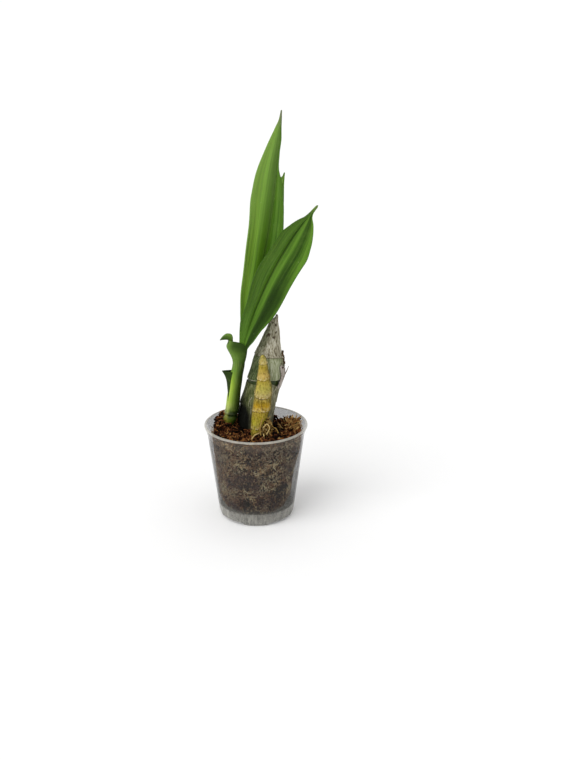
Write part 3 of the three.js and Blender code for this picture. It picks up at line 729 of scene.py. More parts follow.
def make_pot():
    """The profile is drawn by extruding one circle: up the outside, over the lip and down the inside."""
    skirt = 1.3
    underside = FLOOR_Z + FLOOR_THICKNESS
    lip = POT_HEIGHT - LIP_HEIGHT / 2
    profile = [
        (wall_radius(FLOOR_Z) - skirt - 0.6, FLOOR_Z), (wall_radius(FLOOR_Z) - skirt, FLOOR_Z - 0.5),
        (BASE_RADIUS - 2.9, 0.2), (BASE_RADIUS - 2.7, 0), (BASE_RADIUS - 1.7, 0), (BASE_RADIUS - 1.2, 0.3),
        (BASE_RADIUS - 0.4, 2), (wall_radius(5), 5), (wall_radius(12), 12), (wall_radius(40), 40),
        (SHOULDER_RADIUS - 0.2, 68),
        (SHOULDER_RADIUS + 0.1, 71), (SHOULDER_RADIUS + 0.7, 75), (SHOULDER_RADIUS + 1.7, 78.6),
        (RIM_RADIUS - 0.7, lip - 1.1), (RIM_RADIUS - 0.15, lip - 0.6), (RIM_RADIUS, lip),
        (RIM_RADIUS - 0.15, lip + 0.5), (RIM_RADIUS - 0.6, lip + 0.9), (RIM_RADIUS - 1.2, POT_HEIGHT),
        (RIM_RADIUS - 1.8, lip + 0.8), (RIM_RADIUS - LIP_HEIGHT, lip + 0.3),
        (inside_radius(80.6), 80.6), (inside_radius(78.6), 78.6), (inside_radius(76), 76),
        (inside_radius(73), 73), (inside_radius(69), 69), (inside_radius(40), 40),
        (inside_radius(underside + 1.2), underside + 1.2), (inside_radius(underside) - 0.3, underside + 0.3),
        (inside_radius(underside) - 1, underside),
    ]
    deselect()
    bpy.ops.mesh.primitive_circle_add(
        vertices=POT_SIDES, radius=profile[0][0] * MM, fill_type="NOTHING",
        location=to_frame((0, 0, FLOOR_Z)))
    pot = bpy.context.object
    pot.name = "nursery_pot"
    bpy.ops.object.mode_set(mode="EDIT")
    bpy.ops.mesh.select_all(action="SELECT")
    bpy.ops.mesh.edge_face_add()
    bpy.ops.mesh.select_mode(type="EDGE")
    bpy.ops.mesh.select_all(action="SELECT")
    bpy.ops.mesh.extrude_edges_move()
    for (r0, z0), (r1, z1) in zip(profile, profile[1:]):
        if (r0, z0) != profile[0]:
            bpy.ops.mesh.extrude_edges_move()
        bpy.ops.transform.translate(value=(0, 0, (z1 - z0) * MM))
        bpy.ops.transform.resize(value=(r1 / r0, r1 / r0, 1), center_override=to_frame((0, 0, z1)))
    bpy.ops.mesh.edge_face_add()
    bpy.ops.mesh.select_all(action="SELECT")
    bpy.ops.mesh.remove_doubles(threshold=0.00001)
    bpy.ops.mesh.normals_make_consistent(inside=False)
    settle(pot)
    for angle in halfway_angles(FOOT_COUNT):
        deselect()
        bpy.ops.mesh.primitive_cube_add(
            size=1, location=to_frame((*polar(BASE_RADIUS - 2, angle), 0)),
            rotation=(0, 0, angle), scale=(14 * MM, FOOT_NOTCH_WIDTH * MM, 2 * FOOT_NOTCH_HEIGHT * MM))
        cut_away(pot, bpy.context.object)
    for angle in halfway_angles(DRAIN_COUNT):
        deselect()
        bpy.ops.mesh.primitive_cylinder_add(
            vertices=24, radius=DRAIN_RADIUS * MM, depth=4 * FLOOR_THICKNESS * MM,
            location=to_frame((*polar(DRAIN_CIRCLE_RADIUS, angle), FLOOR_Z)))
        cut_away(pot, bpy.context.object)
    only(pot)
    bpy.ops.object.shade_smooth_by_angle(angle=math.radians(35))
    wall = plastic_finish("frosted_plastic", 0.22, (84, 82, 77), 0.34, edge_haze=0.2)
    dress(pot, wall, "clear_plastic", "pot")
    lip_finish, foot_finish, shoulder_finish, back_finish = 1, 2, 3, 4
    for finish in (
        plastic_finish("frosted_lip", 0.7, (214, 210, 198), 0.3),
        # The foot and floor: frosted plastic, its colour painted lighter to stand in for light scattered into
        # the mix's shadow
        plastic_finish("frosted_foot", 0.5, (204, 202, 192), 0.3, clouding=0.5),
        plastic_finish("frosted_shoulder", 0.27, (128, 118, 104), 0.3),
        plastic_finish("frosted_back", 0.44, (112, 110, 105), 0.3),
    ):
        pot.data.materials.append(finish)
    for face in pot.data.polygons:
        height = face.center.z / MM
        behind = face.center.y > POT_AXIS.y + 4 * MM
        if height > POT_HEIGHT - 1.5:
            face.material_index = lip_finish
        elif height > 74:
            face.material_index = back_finish if behind else shoulder_finish
        elif height < FLOOR_Z + 1.3:
            face.material_index = foot_finish


def cut_away(piece, cutter):
    refine(piece, "BOOLEAN", operation="DIFFERENCE", solver="EXACT", object=cutter)
    bpy.data.objects.remove(cutter, do_unlink=True)


# Bulbs, sheaths and shoot

bulb_axis = axis_through(BULB_AXIS)
yellow_axis = axis_through(YELLOW_AXIS)
shoot_axis = axis_through(SHOOT_AXIS)


def bulb_outside(z, angle):
    return along(BULB_OUTLINE, z) + BULB_FLUTE_DEPTH * (math.cos(BULB_FLUTES * angle) - 1)


def make_pseudobulb():
    heights = evenly(63.5, CORE_TIP_Z, 30)
    bulb = column(
        "old_pseudobulb", heights, 32, bulb_axis, lambda z: max(along(BULB_OUTLINE, z) - SHEATH_DEPTH, 0.8))
    refine(bulb, "SUBSURF", levels=1, render_levels=1)

    def relief(z, angle, _):
        flute = BULB_FLUTE_DEPTH * (math.cos(BULB_FLUTES * angle) - 1)
        return flute + 0.12 * wave(3 * math.cos(angle), 3 * math.sin(angle), z / 4)

    scale_about(bulb, bulb_axis, relief)
    bulb.data.shade_smooth()
    dress(bulb, green_bulb_finish(), "bulb_green", "pseudobulb")


# Each sheath's edges as [angle in degrees, height]: 0 is right, -90 is front. lean lifts its lower edge off
# the bulb and tucks its upper edge in, so that it laps over the next one.
SHEATHS = {
    "dry_sheath_top": {
        "low": [
            [-180, 142.6], [-117, 142.2], [-55, 141.2], [-20, 139.2], [5, 138.4], [35, 140.6], [180, 142.6],
        ],
        "high": [
            [-180, 172.5], [-110, 173.8], [-60, 175.6], [0, 176.2], [60, 175.6], [120, 173], [180, 172.5],
        ],
        "low_jag": 0.7, "high_jag": 1.5, "lean": (0.55, 0), "rows": 70, "wrinkle": 0.24,
    },
    "dry_sheath_middle": {
        "low": [[-180, 120.6], [-148, 120.8], [-70, 122], [-42, 121.2], [0, 120.4], [180, 120.6]],
        "high": [[-180, 144], [180, 144]],
        "low_jag": 0.25, "high_jag": 0.3, "lean": (0.3, -0.5), "rows": 44, "wrinkle": 0.1,
    },
    "dry_sheath_lower": {
        "low": [[-180, 97.5], [-90, 96.5], [0, 98], [180, 97.5]],
        "high": [
            [-180, 117.6], [-148, 117.6], [-90, 118.6], [-62, 118.2], [-35, 115.2], [0, 116], [180, 117.6],
        ],
        "low_jag": 0.7, "high_jag": 0.35, "lean": (0.4, 0), "rows": 40, "wrinkle": 0.16,
    },
    "dry_sheath_base": {
        "low": [[-180, 76], [180, 76]],
        "high": [[-180, 99], [180, 99]],
        "low_jag": 0.6, "high_jag": 0.4, "lean": (0.1, -0.45), "rows": 34, "wrinkle": 0.16,
    },
}
# Brown scars on the sheaths as [height, angle in degrees, size]
SCARS = [
    [160.6, -119, 2.2], [158.6, -74, 1.7], [163, -56, 1.1], [169, -55, 1.5], [171, -95, 1.1], [140, 2, 2.6],
    [134.5, -19, 2], [130.5, -14, 1.6], [126, -12, 1.3], [152, 60, 2], [165, 130, 1.8], [148, 170, 1.6],
]


def make_sheath(node, low, high, low_jag, high_jag, lean, rows, wrinkle, material):
    """A torn papery shell: up its outside, over the ragged rim and down its inside."""
    sides = 160
    inner_rows = 6
    depth_inside = 0.5
    rng = random.Random(node)
    phases = [rng.uniform(0, 6.28) for _ in range(6)]

    def ragged(angle, first, jag):
        slow = math.sin(3 * angle + phases[first]) + 0.7 * math.sin(7 * angle + phases[first + 1])
        quick = math.sin(23 * angle + phases[first + 2]) * math.sin(41 * angle + phases[first])
        return jag * (0.4 * slow + 0.55 * quick)

    points = []
    marks = {"edge": [], "painted_shadow": [], "veil": [], "scars": []}
    shares = [(share, 0) for share in evenly(0, 1, rows)]
    shares += [(share, depth_inside) for share in reversed(evenly(0, 1, inner_rows))]
    for share, depth in shares:
        for k in range(sides):
            degrees = 360 * k / sides - 180
            angle = math.radians(degrees)
            bottom = along(low, degrees) + ragged(angle, 0, low_jag)
            top = along(high, degrees) + ragged(angle, 3, high_jag)
            z = bottom + (top - bottom) * share
            x, y = bulb_axis(z)
            crease = wrinkle * (
                math.sin(29 * angle + 0.25 * z + phases[1]) * (0.6 + 0.4 * math.sin(0.33 * z))
                + 0.8 * math.sin(17 * angle - 0.19 * z + phases[2])
                + 0.9 * wave(5 * math.cos(angle), 5 * math.sin(angle), z / 3)
            )
            lift = lean[0] * math.exp(-(z - bottom) / 3) + lean[1] * math.exp(-(top - z) / 2)
            if node == "dry_sheath_top":
                lift += 1.2 * math.exp(-(degrees / 24) ** 2 - (z - bottom) / 2.4)
            r = bulb_outside(z, angle) - depth + crease + lift
            points.append((x + r * math.cos(angle), y + r * math.sin(angle), z))
            # Painted shadow, near black, on the left side of the old bulb's lower part
            start = 0.4 * smoothstep(z, 84, 106)
            left = smoothstep(-math.cos(angle), start, start + 0.5)
            marks["edge"].append(max(math.exp(-(z - bottom) / 0.6), 0.5 * math.exp(-(top - z) / 0.7)))
            marks["painted_shadow"].append(left * smoothstep(113 - z, 0, 22))
            marks["veil"].append(smoothstep(math.cos(math.radians(degrees + 20)), -0.5, 0.4))
            marks["scars"].append(max(
                math.exp(-((z - sz) ** 2 + (r * math.radians(degrees - sa)) ** 2) / size ** 2)
                for sz, sa, size in SCARS))
    sheath = mesh_piece(node.replace("dry_", "papery_"), points, ring_faces(len(shares), sides, closed=True))
    for mark, values in marks.items():
        set_attribute(sheath, mark, values)
    dress(sheath, material, "dry_sheath", node)


def bulb_point(height, degrees, out):
    """A point that stands out from the old bulb's surface."""
    angle = math.radians(degrees)
    x, y = bulb_axis(height)
    r = along(BULB_OUTLINE, height) + out
    return (x + r * math.cos(angle), y + r * math.sin(angle), height)


def make_tatters():
    """Torn paper at the old bulb's right side, with bristles, loose threads and a frayed tip."""
    grid = []
    for height in evenly(113, 132, 34):
        row = []
        for share in evenly(0, 1, 12):
            bulge = 1.5 * share ** 2 * math.sin(math.pi * min(1, (height - 112) / 20)) ** 0.7
            ruffle = share * (0.3 * math.sin(0.9 * height + 3 * share) + 0.3 * math.sin(2.3 * height))
            low = 111.5 + 5 * share + 1.3 * math.sin(8 * share + 1)
            high = 133 - 3.5 * share ** 2 + 1.2 * math.sin(10 * share)
            z = low + (high - low) * (height - 113) / 19 + 0.9 * share * math.sin(1.3 * height)
            torn = 3 * math.sin(0.5 * height) + 2 * math.sin(1.7 * height)
            start = -34 + 4 * math.sin(0.42 * height) + 1.5 * math.sin(2.9 * height)
            row.append(bulb_point(z, start + (6 + torn - start) * share, 0.45 + bulge + ruffle))
        grid.append(row)
    dress(sheet_piece("torn_flap", np.array(grid), 0.16), paper_finish(), "dry_sheath")

    threads = Heap()
    rng = random.Random(17)

    def thread(path, thick, shade):
        smooth = smooth_path(path, 6)
        count = len(smooth) - 1
        radii = [thick * (1 - 0.75 * i / count) for i in range(count + 1)]
        threads.add(*strand_mesh(smooth, radii, 5), shade)

    thread([bulb_point(121, 2, 0.8), bulb_point(126, 3, 3), (28.6, 17.4, 131)], 0.7, 0.45)
    for places, thick, shade in (
        (((120, 8, 0.6), (124, 9, 2.6), (127, 10, 4.2)), 0.22, 0.9),
        (((115.8, -42, 0.5), (113, -50, 1), (109.5, -58, 0.6)), 0.24, 0.95),
        (((107, -118, 0.4), (103, -121, 0.8), (98, -120, 0.5)), 0.22, 0.9),
        (((121.3, -140, 0.6), (122, -124, 0.9), (122.4, -110, 0.5)), 0.16, 0.85),
    ):
        thread([bulb_point(*place) for place in places], thick, shade)
    for _ in range(26):
        degrees = rng.uniform(-180, 180)
        base = rng.uniform(170, 173)
        tip = base + rng.uniform(2.5, 5.4)
        path = [
            bulb_point(base, degrees, 0),
            bulb_point((base + tip) / 2, degrees + 6, rng.uniform(-0.4, 0.5)),
            bulb_point(min(tip, 176.8), degrees + rng.uniform(-12, 12), rng.uniform(-1.2, 0.6)),
        ]
        thread(path, rng.uniform(0.2, 0.5), rng.uniform(0.3, 1))
    for _ in range(90):
        degrees = rng.gauss(1, 9)
        base = rng.choice((rng.uniform(137, 143), rng.uniform(126, 141)))
        path = [
            bulb_point(base, degrees, 0.2),
            bulb_point(base + 1.2, degrees + 2, rng.uniform(0.5, 1.7)),
            bulb_point(base + rng.uniform(1.4, 3), degrees + rng.uniform(-6, 6), rng.uniform(0.3, 1.8)),
        ]
        thread(path, rng.uniform(0.2, 0.65), rng.uniform(0, 0.25))
    piece = threads.piece("bulb_threads")
    stops = [(0.0, (50, 34, 20)), (0.3, (128, 104, 78)), (0.6, (186, 174, 156)), (1.0, (224, 218, 200))]
    dress(piece, husk_finish("dry_threads", stops), "dry_sheath")


def yellow_scale(z, angle):
    """Which scale a height lies in: its number, the height above its lower edge and that below its upper."""
    edges = [side + (front - side) * -math.sin(angle) for front, side in YELLOW_SCALE_EDGES]
    i = sum(1 for edge in edges if edge <= z)
    above = z - edges[i - 1] if i else 9
    below = edges[i] - z if i < len(edges) else 9
    return i, above, below


def make_yellow_bulb():
    heights = [*evenly(62, 146, 56), 147, 147.7, 148]
    bulb = column("small_back_bulb", heights, 32, yellow_axis, lambda z: along(YELLOW_OUTLINE, z))
    refine(bulb, "SUBSURF", levels=2, render_levels=2, subdivision_type="SIMPLE")
    points, _, angles, _ = round_about(bulb, yellow_axis)
    marks = {"step": [], "rim": [], "side": []}
    for z, angle in zip(points[:, 2], angles):
        _, above, below = yellow_scale(z, angle)
        marks["step"].append(math.exp(-(below / 0.75) ** 2))
        marks["rim"].append(math.exp(-above / 2.6))
        # side is painted shade: 1 at the sides of the small bulb, 0 in front
        marks["side"].append(1 - smoothstep(-math.sin(angle), 0.1, 0.85))

    def relief(z, angle, r):
        number, above, below = yellow_scale(z, angle)
        step = YELLOW_STEP * (math.exp(-above / 5) - 0.45) if number else 0
        groove = -0.25 * math.exp(-(below / 0.6) ** 2)
        ribs = 0.03 * r * math.cos(5 * angle) + 0.05 * math.cos(19 * angle + 0.3 * z)
        lump = 0.22 * wave(4.4 * math.cos(angle), 4.4 * math.sin(angle), z / 2.2)
        return (step + groove + ribs + lump) * min(1, r / 4)

    scale_about(bulb, yellow_axis, relief)
    for mark, values in marks.items():
        set_attribute(bulb, mark, values)
    bulb.data.shade_smooth()
    dress(bulb, yellow_finish(), "bulb_yellow", "yellow_back_bulb")


def make_shoot():
    heights = evenly(60, 166, 48)
    shoot = column("green_shoot", heights, 24, shoot_axis, lambda z: along(SHOOT_OUTLINE, z))
    refine(shoot, "SUBSURF", levels=2, render_levels=2, subdivision_type="SIMPLE")

    def ring_height(angle):
        return SHOOT_RING_Z + 0.5 * math.sin(2 * angle + 0.6)

    def relief(z, angle, _):
        ring = 0.5 * math.exp(-((z - ring_height(angle)) / 1.3) ** 2)
        groove = 0.35 * math.exp(-((z - ring_height(angle) + 2.4) / 1.0) ** 2)
        swelling = 0.3 * math.exp(-((z - SHOOT_SWELLING_Z) / 2.4) ** 2)
        ridges = 0.05 * math.cos(9 * angle) + 0.12 * wave(2 * math.cos(angle), 2 * math.sin(angle), z / 9)
        return ring - groove + swelling + ridges

    scale_about(shoot, shoot_axis, relief)
    points, _, angles, _ = round_about(shoot, shoot_axis)
    scar = [
        math.exp(-((z - ring_height(a)) / 0.9) ** 2) * (0.5 - 0.5 * math.cos(a - 0.5))
        for z, a in zip(points[:, 2], angles)
    ]
    set_attribute(shoot, "scar", scar)
    # side steers the painted shade on the shoot: 1 at its right, away from the light
    set_attribute(shoot, "side", [0.5 + 0.5 * math.cos(a + 0.25) for a in angles])
    shoot.data.shade_smooth()
    dress(shoot, shoot_finish(), "shoot_green", "new_shoot")


# Leaves and bracts

def unit(v):
    return v / np.linalg.norm(v)


def blade_row(leaf, shares, t):
    """Points across the blade at t, formed as in the part's source, with ripples and veins besides."""
    a, b, c, d = (np.array(p, float) for p in leaf["midrib"])
    m = 1 - t
    centre = m ** 3 * a + 3 * m * m * t * b + 3 * m * t * t * c + t ** 3 * d
    tangent = unit(3 * m * m * (b - a) + 6 * m * t * (c - b) + 3 * t * t * (d - c))
    azimuth = math.radians(along(leaf["facing"], t))
    look = np.array((math.sin(azimuth), -math.cos(azimuth), 0))
    level = np.array((math.cos(azimuth), math.sin(azimuth), 0))
    side = unit(level - tangent * level.dot(tangent))
    up = np.cross(side, tangent)
    curl = along(leaf["curl"], t) + 1e-4
    wrap = smoothstep(curl, 0, 0.1)
    up = unit(up + (look - up) * wrap)
    row = []
    for s in shares:
        width = along(leaf["widths"], t, 1 if s < 0 else 2)
        flatter = min(1, width / TIP_WIDTH)
        fold = math.radians(along(leaf["fold"], t, 1 if s < 0 else -1)) * flatter
        reach = abs(s) * width
        lateral = (math.sin(fold + curl * reach) - math.sin(fold)) / curl
        pleat = leaf["pleat"] * flatter * smoothstep(t, 0.02, 0.25)
        height = (math.cos(fold) - math.cos(fold + curl * reach)) / curl
        height += pleat * width * 0.5 * (1 - math.cos(3 * math.pi * abs(s)))
        ripple = leaf["ripple"] * s * s * smoothstep(t, 0.15, 0.4) * flatter
        height += ripple * math.sin(2 * math.pi * leaf["ripples"] * t + (1.3 if s < 0 else 0))
        height -= VEIN_DEPTH * math.cos(2 * math.pi * 9 * s) * flatter
        row.append(centre + side * (math.copysign(lateral, s)) + up * height)
    return row


def sheet_piece(name, grid, thickness, thin_margins=False):
    """A thin closed sheet from rows of points, with a UV map: u runs across each row, v from row to row."""
    rows, row = grid.shape[:2]
    normals = np.cross(np.gradient(grid, axis=1), np.gradient(grid, axis=0))
    normals /= np.linalg.norm(normals, axis=2, keepdims=True)
    half = normals * thickness / 2
    if thin_margins:
        half *= np.array([0.35 + 0.65 * (1 - abs(s) ** 6) for s in evenly(-1, 1, row - 1)]).reshape(1, -1, 1)
    points = np.concatenate([(grid + half).reshape(-1, 3), (grid - half).reshape(-1, 3)])
    under = row * rows
    faces = []
    for j in range(rows - 1):
        for i in range(row - 1):
            a = j * row + i
            faces.append((a, a + 1, a + row + 1, a + row))
            faces.append((under + a, under + a + row, under + a + row + 1, under + a + 1))
        left, right = j * row, j * row + row - 1
        faces.append((left, left + row, under + left + row, under + left))
        faces.append((right + row, right, under + right, under + right + row))
    for i in range(row - 1):
        tip = (rows - 1) * row + i
        faces.append((i + 1, i, under + i, under + i + 1))
        faces.append((tip, tip + 1, under + tip + 1, under + tip))
    piece = mesh_piece(name, points, faces)
    corners = np.empty(len(piece.data.loops), dtype=np.int64)
    piece.data.loops.foreach_get("vertex_index", corners)
    local = corners % under
    uv = np.stack([(local % row) / (row - 1), (local // row) / (rows - 1)], axis=1)
    layer = piece.data.uv_layers.new(name="blade")
    layer.data.foreach_set("uv", uv.astype(np.float32).ravel())
    return piece


def make_blade(node, leaf, material):
    shares = evenly(-1, 1, 72)
    grid = np.array([blade_row(leaf, shares, t) for t in evenly(0, 1, 150)])
    blade = sheet_piece("pleated_" + node, grid, BLADE_THICKNESS, thin_margins=True)
    dress(blade, material, "leaf_green", node)


# Upper bract: the collar's left and right sides by height, its rim's height by angle (-90 is front), and the
# ridge and lower edge of its hooked tip
COLLAR_FOOT = 136
COLLAR_LEFT = [
    [136, -19.3], [138, -19.6], [140.5, -19.9], [144, -21.1], [147.3, -22.6], [150, -23.9], [152.8, -24.7],
    [156, -23.6], [158, -23],
]
COLLAR_RIGHT = [[136, -10.2], [138, -9.4], [140.5, -8.5], [147, -7.2], [150, -6.8], [153, -6.6], [158, -7.2]]
COLLAR_DEPTH = [[136, 4.5], [139, 4.9], [141, 5.2], [147, 5.8], [153, 7], [159, 7.4]]
COLLAR_RIM = [
    [-330, 154], [-270, 152], [-205, 154.5], [-180, 157], [-150, 158.6], [-110, 159], [-85, 158.4],
    [-65, 157], [-40, 154.6], [-15, 151.6],
]
HOOK_RIDGE = [
    [-19.6, 3.6, 152.5], [-19.3, 3.6, 157], [-19.3, 3.6, 161], [-20.8, 3.8, 164.2], [-23.8, 4, 164.6],
    [-26.8, 4.2, 163], [-28.6, 4.3, 161], [-30.2, 4.4, 158.6],
]
HOOK_EDGE = [
    [-23.4, 3.2, 153], [-23.2, 3, 156.2], [-23.1, 2.8, 158.2], [-23.4, 2.6, 159.2], [-24.8, 2.6, 159.5],
    [-26.8, 3, 159.3], [-28.4, 3.6, 159], [-30.1, 4.3, 158.5],
]


def make_upper_bract(material):
    """A collar that clasps the shoot and opens to the left, with a folded tip that hooks over."""
    grid = []
    for share in evenly(0, 1, 40):
        row = []
        for degrees in evenly(-15, -330, 90):
            rim = along(COLLAR_RIM, degrees) + 0.25 * math.sin(math.radians(4 * degrees))
            z = COLLAR_FOOT + (rim - COLLAR_FOOT) * share
            left, right = along(COLLAR_LEFT, z), along(COLLAR_RIGHT, z)
            angle = math.radians(degrees)
            keel = 1 - 0.35 * (0.5 - 0.5 * math.cos(angle)) ** 2
            x = (left + right) / 2 + (right - left) / 2 * math.cos(angle)
            flare = 0.5 * smoothstep(share, 0.8, 1)
            front = math.copysign(abs(math.sin(angle)) ** 0.75, math.sin(angle))
            y = shoot_axis(z)[1] + (along(COLLAR_DEPTH, z) + flare) * keel * front
            row.append((x, y, z))
        grid.append(row)
    collar = sheet_piece("green_bract_upper", np.array(grid), BLADE_THICKNESS)
    dress(collar, material, "bract_green", "bract_upper")
    ridge, edge = smooth_path(HOOK_RIDGE, 6), smooth_path(HOOK_EDGE, 6)
    grid = []
    for (rx, ry, rz), (ex, ey, ez) in zip(ridge, edge):
        row = []
        for s in evenly(-1, 1, 24):
            share = abs(s) ** 1.2
            y = ry + (ey - ry) * share - 0.5 * math.sin(math.pi * share)
            row.append((rx + (ex - rx) * share, y if s < 0 else 2 * ry - y, rz + (ez - rz) * share))
        grid.append(row)
    hook = sheet_piece("bract_upper_hook", np.array(grid), BLADE_THICKNESS, thin_margins=True)
    dress(hook, material, "bract_green")


# Lower bract: how far out its keel stands by height
BRACT_FOOT = 102
BRACT_RISE = 27.8
KEEL_OUT = [
    [102, -24.6], [106, -24.5], [109, -24.5], [112, -24.7], [115, -24.9], [118, -25.1], [121, -25.5],
    [124, -26.3], [127, -27.6], [130, -29.4],
]


def make_lower_bract(material):
    """A small boat that clasps the shoot's left side, with its keel to the left and a level rim."""
    half_width = 3.6
    grid = []
    for share in evenly(0, 1, 50):
        row = []
        for turn in evenly(-1, 1, 28):
            z = BRACT_FOOT + BRACT_RISE * share - 0.5 * abs(turn) * smoothstep(share, 0.8, 1)
            x, y = shoot_axis(z)
            stem = x - math.sqrt(max(along(SHOOT_OUTLINE, z) ** 2 - (half_width * turn) ** 2, 0)) + 0.5
            keel = along(KEEL_OUT, z)
            row.append((stem + (keel - stem) * (1 - abs(turn) ** 1.7), y + half_width * turn, z))
        grid.append(row)
    boat = sheet_piece("green_bract_lower", np.array(grid), BLADE_THICKNESS)
    dress(boat, material, "bract_green", "bract_lower")


# Roots and fibres

def strand_mesh(points, radii, sides=6):
    """Points and faces of a round strand with closed, rounded-off ends."""
    path = [Vector(p) for p in points]
    out = []
    for i, p in enumerate(path):
        ahead = (path[min(i + 1, len(path) - 1)] - path[max(i - 1, 0)]).normalized()
        across = ahead.orthogonal() if i == 0 else across - ahead * across.dot(ahead)
        across.normalize()
        other = ahead.cross(across)
        for k in range(sides):
            angle = 2 * math.pi * k / sides
            out.append(p + (across * math.cos(angle) + other * math.sin(angle)) * radii[i])
    return [tuple(p) for p in out], ring_faces(len(path), sides)


def smooth_path(points, steps):
    """A smooth curve through the points, the same number of steps between each two."""
    stations = [[i, *p] for i, p in enumerate(points)]
    last = len(points) - 1
    return [tuple(along(stations, t, c) for c in (1, 2, 3)) for t in evenly(0, last, last * steps)]


class Heap:
    """Gathers many small shapes into one mesh, with a shade for each."""

    def __init__(self):
        self.points, self.faces, self.shades = [], [], []

    def add(self, points, faces, shade):
        start = len(self.points)
        self.points.extend(points)
        self.faces.extend(tuple(start + i for i in face) for face in faces)
        self.shades.extend([shade] * len(points))

    def piece(self, name, smooth=True):
        made = mesh_piece(name, self.points, self.faces)
        set_attribute(made, "shade", self.shades)
        if not smooth:
            made.data.shade_flat()
        return made


def make_roots():
    """Tan roots that arch out of a tangled crown, with a tuft of fine fibres all over it."""
    rng = random.Random(11)
    heap = Heap()
    for k, points in enumerate(ROOTS):
        path = smooth_path(points, 7)
        radii = [ROOT_RADIUS * (0.55 + 0.09 * math.sin(1.9 * i)) for i in range(len(path))]
        heap.add(*strand_mesh(path, radii, 10), 0.65 if k % 2 else 0.92)
    cx, cy, cz = ROOT_KNOT["centre"]
    rx, ry, rz = ROOT_KNOT["radii"]
    for _ in range(260):
        turn = rng.uniform(-2.6, 1.4)
        lift = rng.uniform(-0.8, 0.95)
        ring = math.sqrt(1 - lift * lift)
        place = Vector((
            cx + 0.8 * rx * ring * math.cos(turn),
            cy + 0.8 * ry * ring * math.sin(turn),
            cz + 0.86 * rz * lift,
        ))
        heading = Vector((math.cos(turn), math.sin(turn), rng.uniform(-0.4, 0.9))).normalized()
        path = [tuple(place)]
        for _ in range(rng.randint(3, 6)):
            heading += Vector((rng.gauss(0, 0.5), rng.gauss(0, 0.5), rng.gauss(-0.25, 0.5)))
            heading.normalize()
            place = place + heading * rng.uniform(0.6, 1.3)
            path.append(tuple(place))
        thick = rng.choice((0.16, 0.22, 0.3, 0.36, 0.46))
        heap.add(*strand_mesh(smooth_path(path, 2), [thick] * (2 * len(path) - 1), 5), rng.random())
    flake, flake_faces = crumb_shape()
    for _ in range(240):
        turn = rng.uniform(-2.4, 1.2)
        lift = rng.uniform(-0.7, 0.95)
        ring = math.sqrt(1 - lift * lift)
        place = Vector((
            cx + rx * ring * math.cos(turn),
            cy + ry * ring * math.sin(turn),
            cz + 0.95 * rz * lift,
        ))
        size = (rng.uniform(0.5, 1.6), rng.uniform(0.3, 0.8), rng.uniform(0.8, 2.6))
        outwards = Vector((math.cos(turn), math.sin(turn), lift))
        heap.add(placed(flake, size, lying_on(rng, outwards, 0.5), place), flake_faces, rng.uniform(0.1, 0.9))
    piece = heap.piece("back_bulb_roots", smooth=False)
    stops = [(0.0, (34, 20, 6)), (0.3, (92, 62, 22)), (0.55, (160, 124, 60)), (0.8, (206, 174, 102)),
             (1.0, (234, 208, 148))]
    dress(piece, husk_finish("root_skin", stops), "root", "roots")
    deselect()
    bpy.ops.mesh.primitive_ico_sphere_add(
        subdivisions=4, radius=1, location=to_frame(ROOT_KNOT["centre"]),
        scale=[0.84 * r * MM for r in (rx, ry, rz)])
    knot = bpy.context.object
    knot.name = "root_crown"
    settle(knot)
    centre = np.array((cx, cy, cz))
    points = np.array([centre + (p - centre) * (1 + 0.16 * wave(*(0.9 * p))) for p in local_points(knot)])
    move_points(knot, points)
    knot.data.shade_smooth()
    set_attribute(knot, "shade", [0.4 + 0.3 * wave(*(1.7 * p)) for p in points])
    crown_stops = [(0.1, (24, 14, 6)), (0.5, (62, 40, 16)), (0.9, (104, 76, 38))]
    dress(knot, husk_finish("root_crown_skin", crown_stops), "root")


# Potting mix

def near(x, y, cx, cy, size):
    return math.exp(-((x - cx) ** 2 + (y - cy) ** 2) / size ** 2)


def mix_top(x, y):
    """The heap's own surface: lumpy, and sunk at the back and in front of the old bulb's right side."""
    lumps = math.sin(0.42 * x + 1.1) * math.cos(0.37 * y - 0.6) + 0.6 * math.sin(0.83 * x - 0.71 * y)
    sunk = 3.5 * near(x, y, 20, 26, 12) + 5.5 * near(x, y, 19, 8, 9) + 1.5 * near(x, y, -12, 0, 6)
    return MIX_TOP_Z + MIX_LUMP * lumps - sunk


def mix_rise(x, y):
    """How high loose bits pile up: at the left by the rim, at the right by the rim, and round the roots."""
    left = 9.5 * near(x, y, -27, 20, 10) + 5 * near(x, y, -33, 5, 8)
    right = 9 * near(x, y, 30, 9, 8)
    roots = 5 * near(x, y, 11, -6, 6)
    return LEAST_RISE + left + right + roots


def mix_gap(angle, z):
    """How far the mix stays off the wall: more low at the right, high at the left, and by the floor."""
    right = smoothstep(math.cos(angle), 0.5, 1) * (1 - smoothstep(z, 38, 64))
    left = smoothstep(-math.cos(angle), 0.5, 1) * smoothstep(z, 20, 70)
    curve = (1 + 2.4 * abs(math.cos(angle))) * (1 - smoothstep(z, FLOOR_Z, FLOOR_Z + 13)) ** 1.5
    return MIX_INSET + MIX_SIDE_INSET * (right + 0.5 * left) + curve


def mix_side(angle, z):
    """How far from the axis the mix reaches."""
    return inside_radius(z) - mix_gap(angle, z)


def mix_side_point(angle, z, out):
    return (*polar(mix_side(angle, z) + out, angle), z)


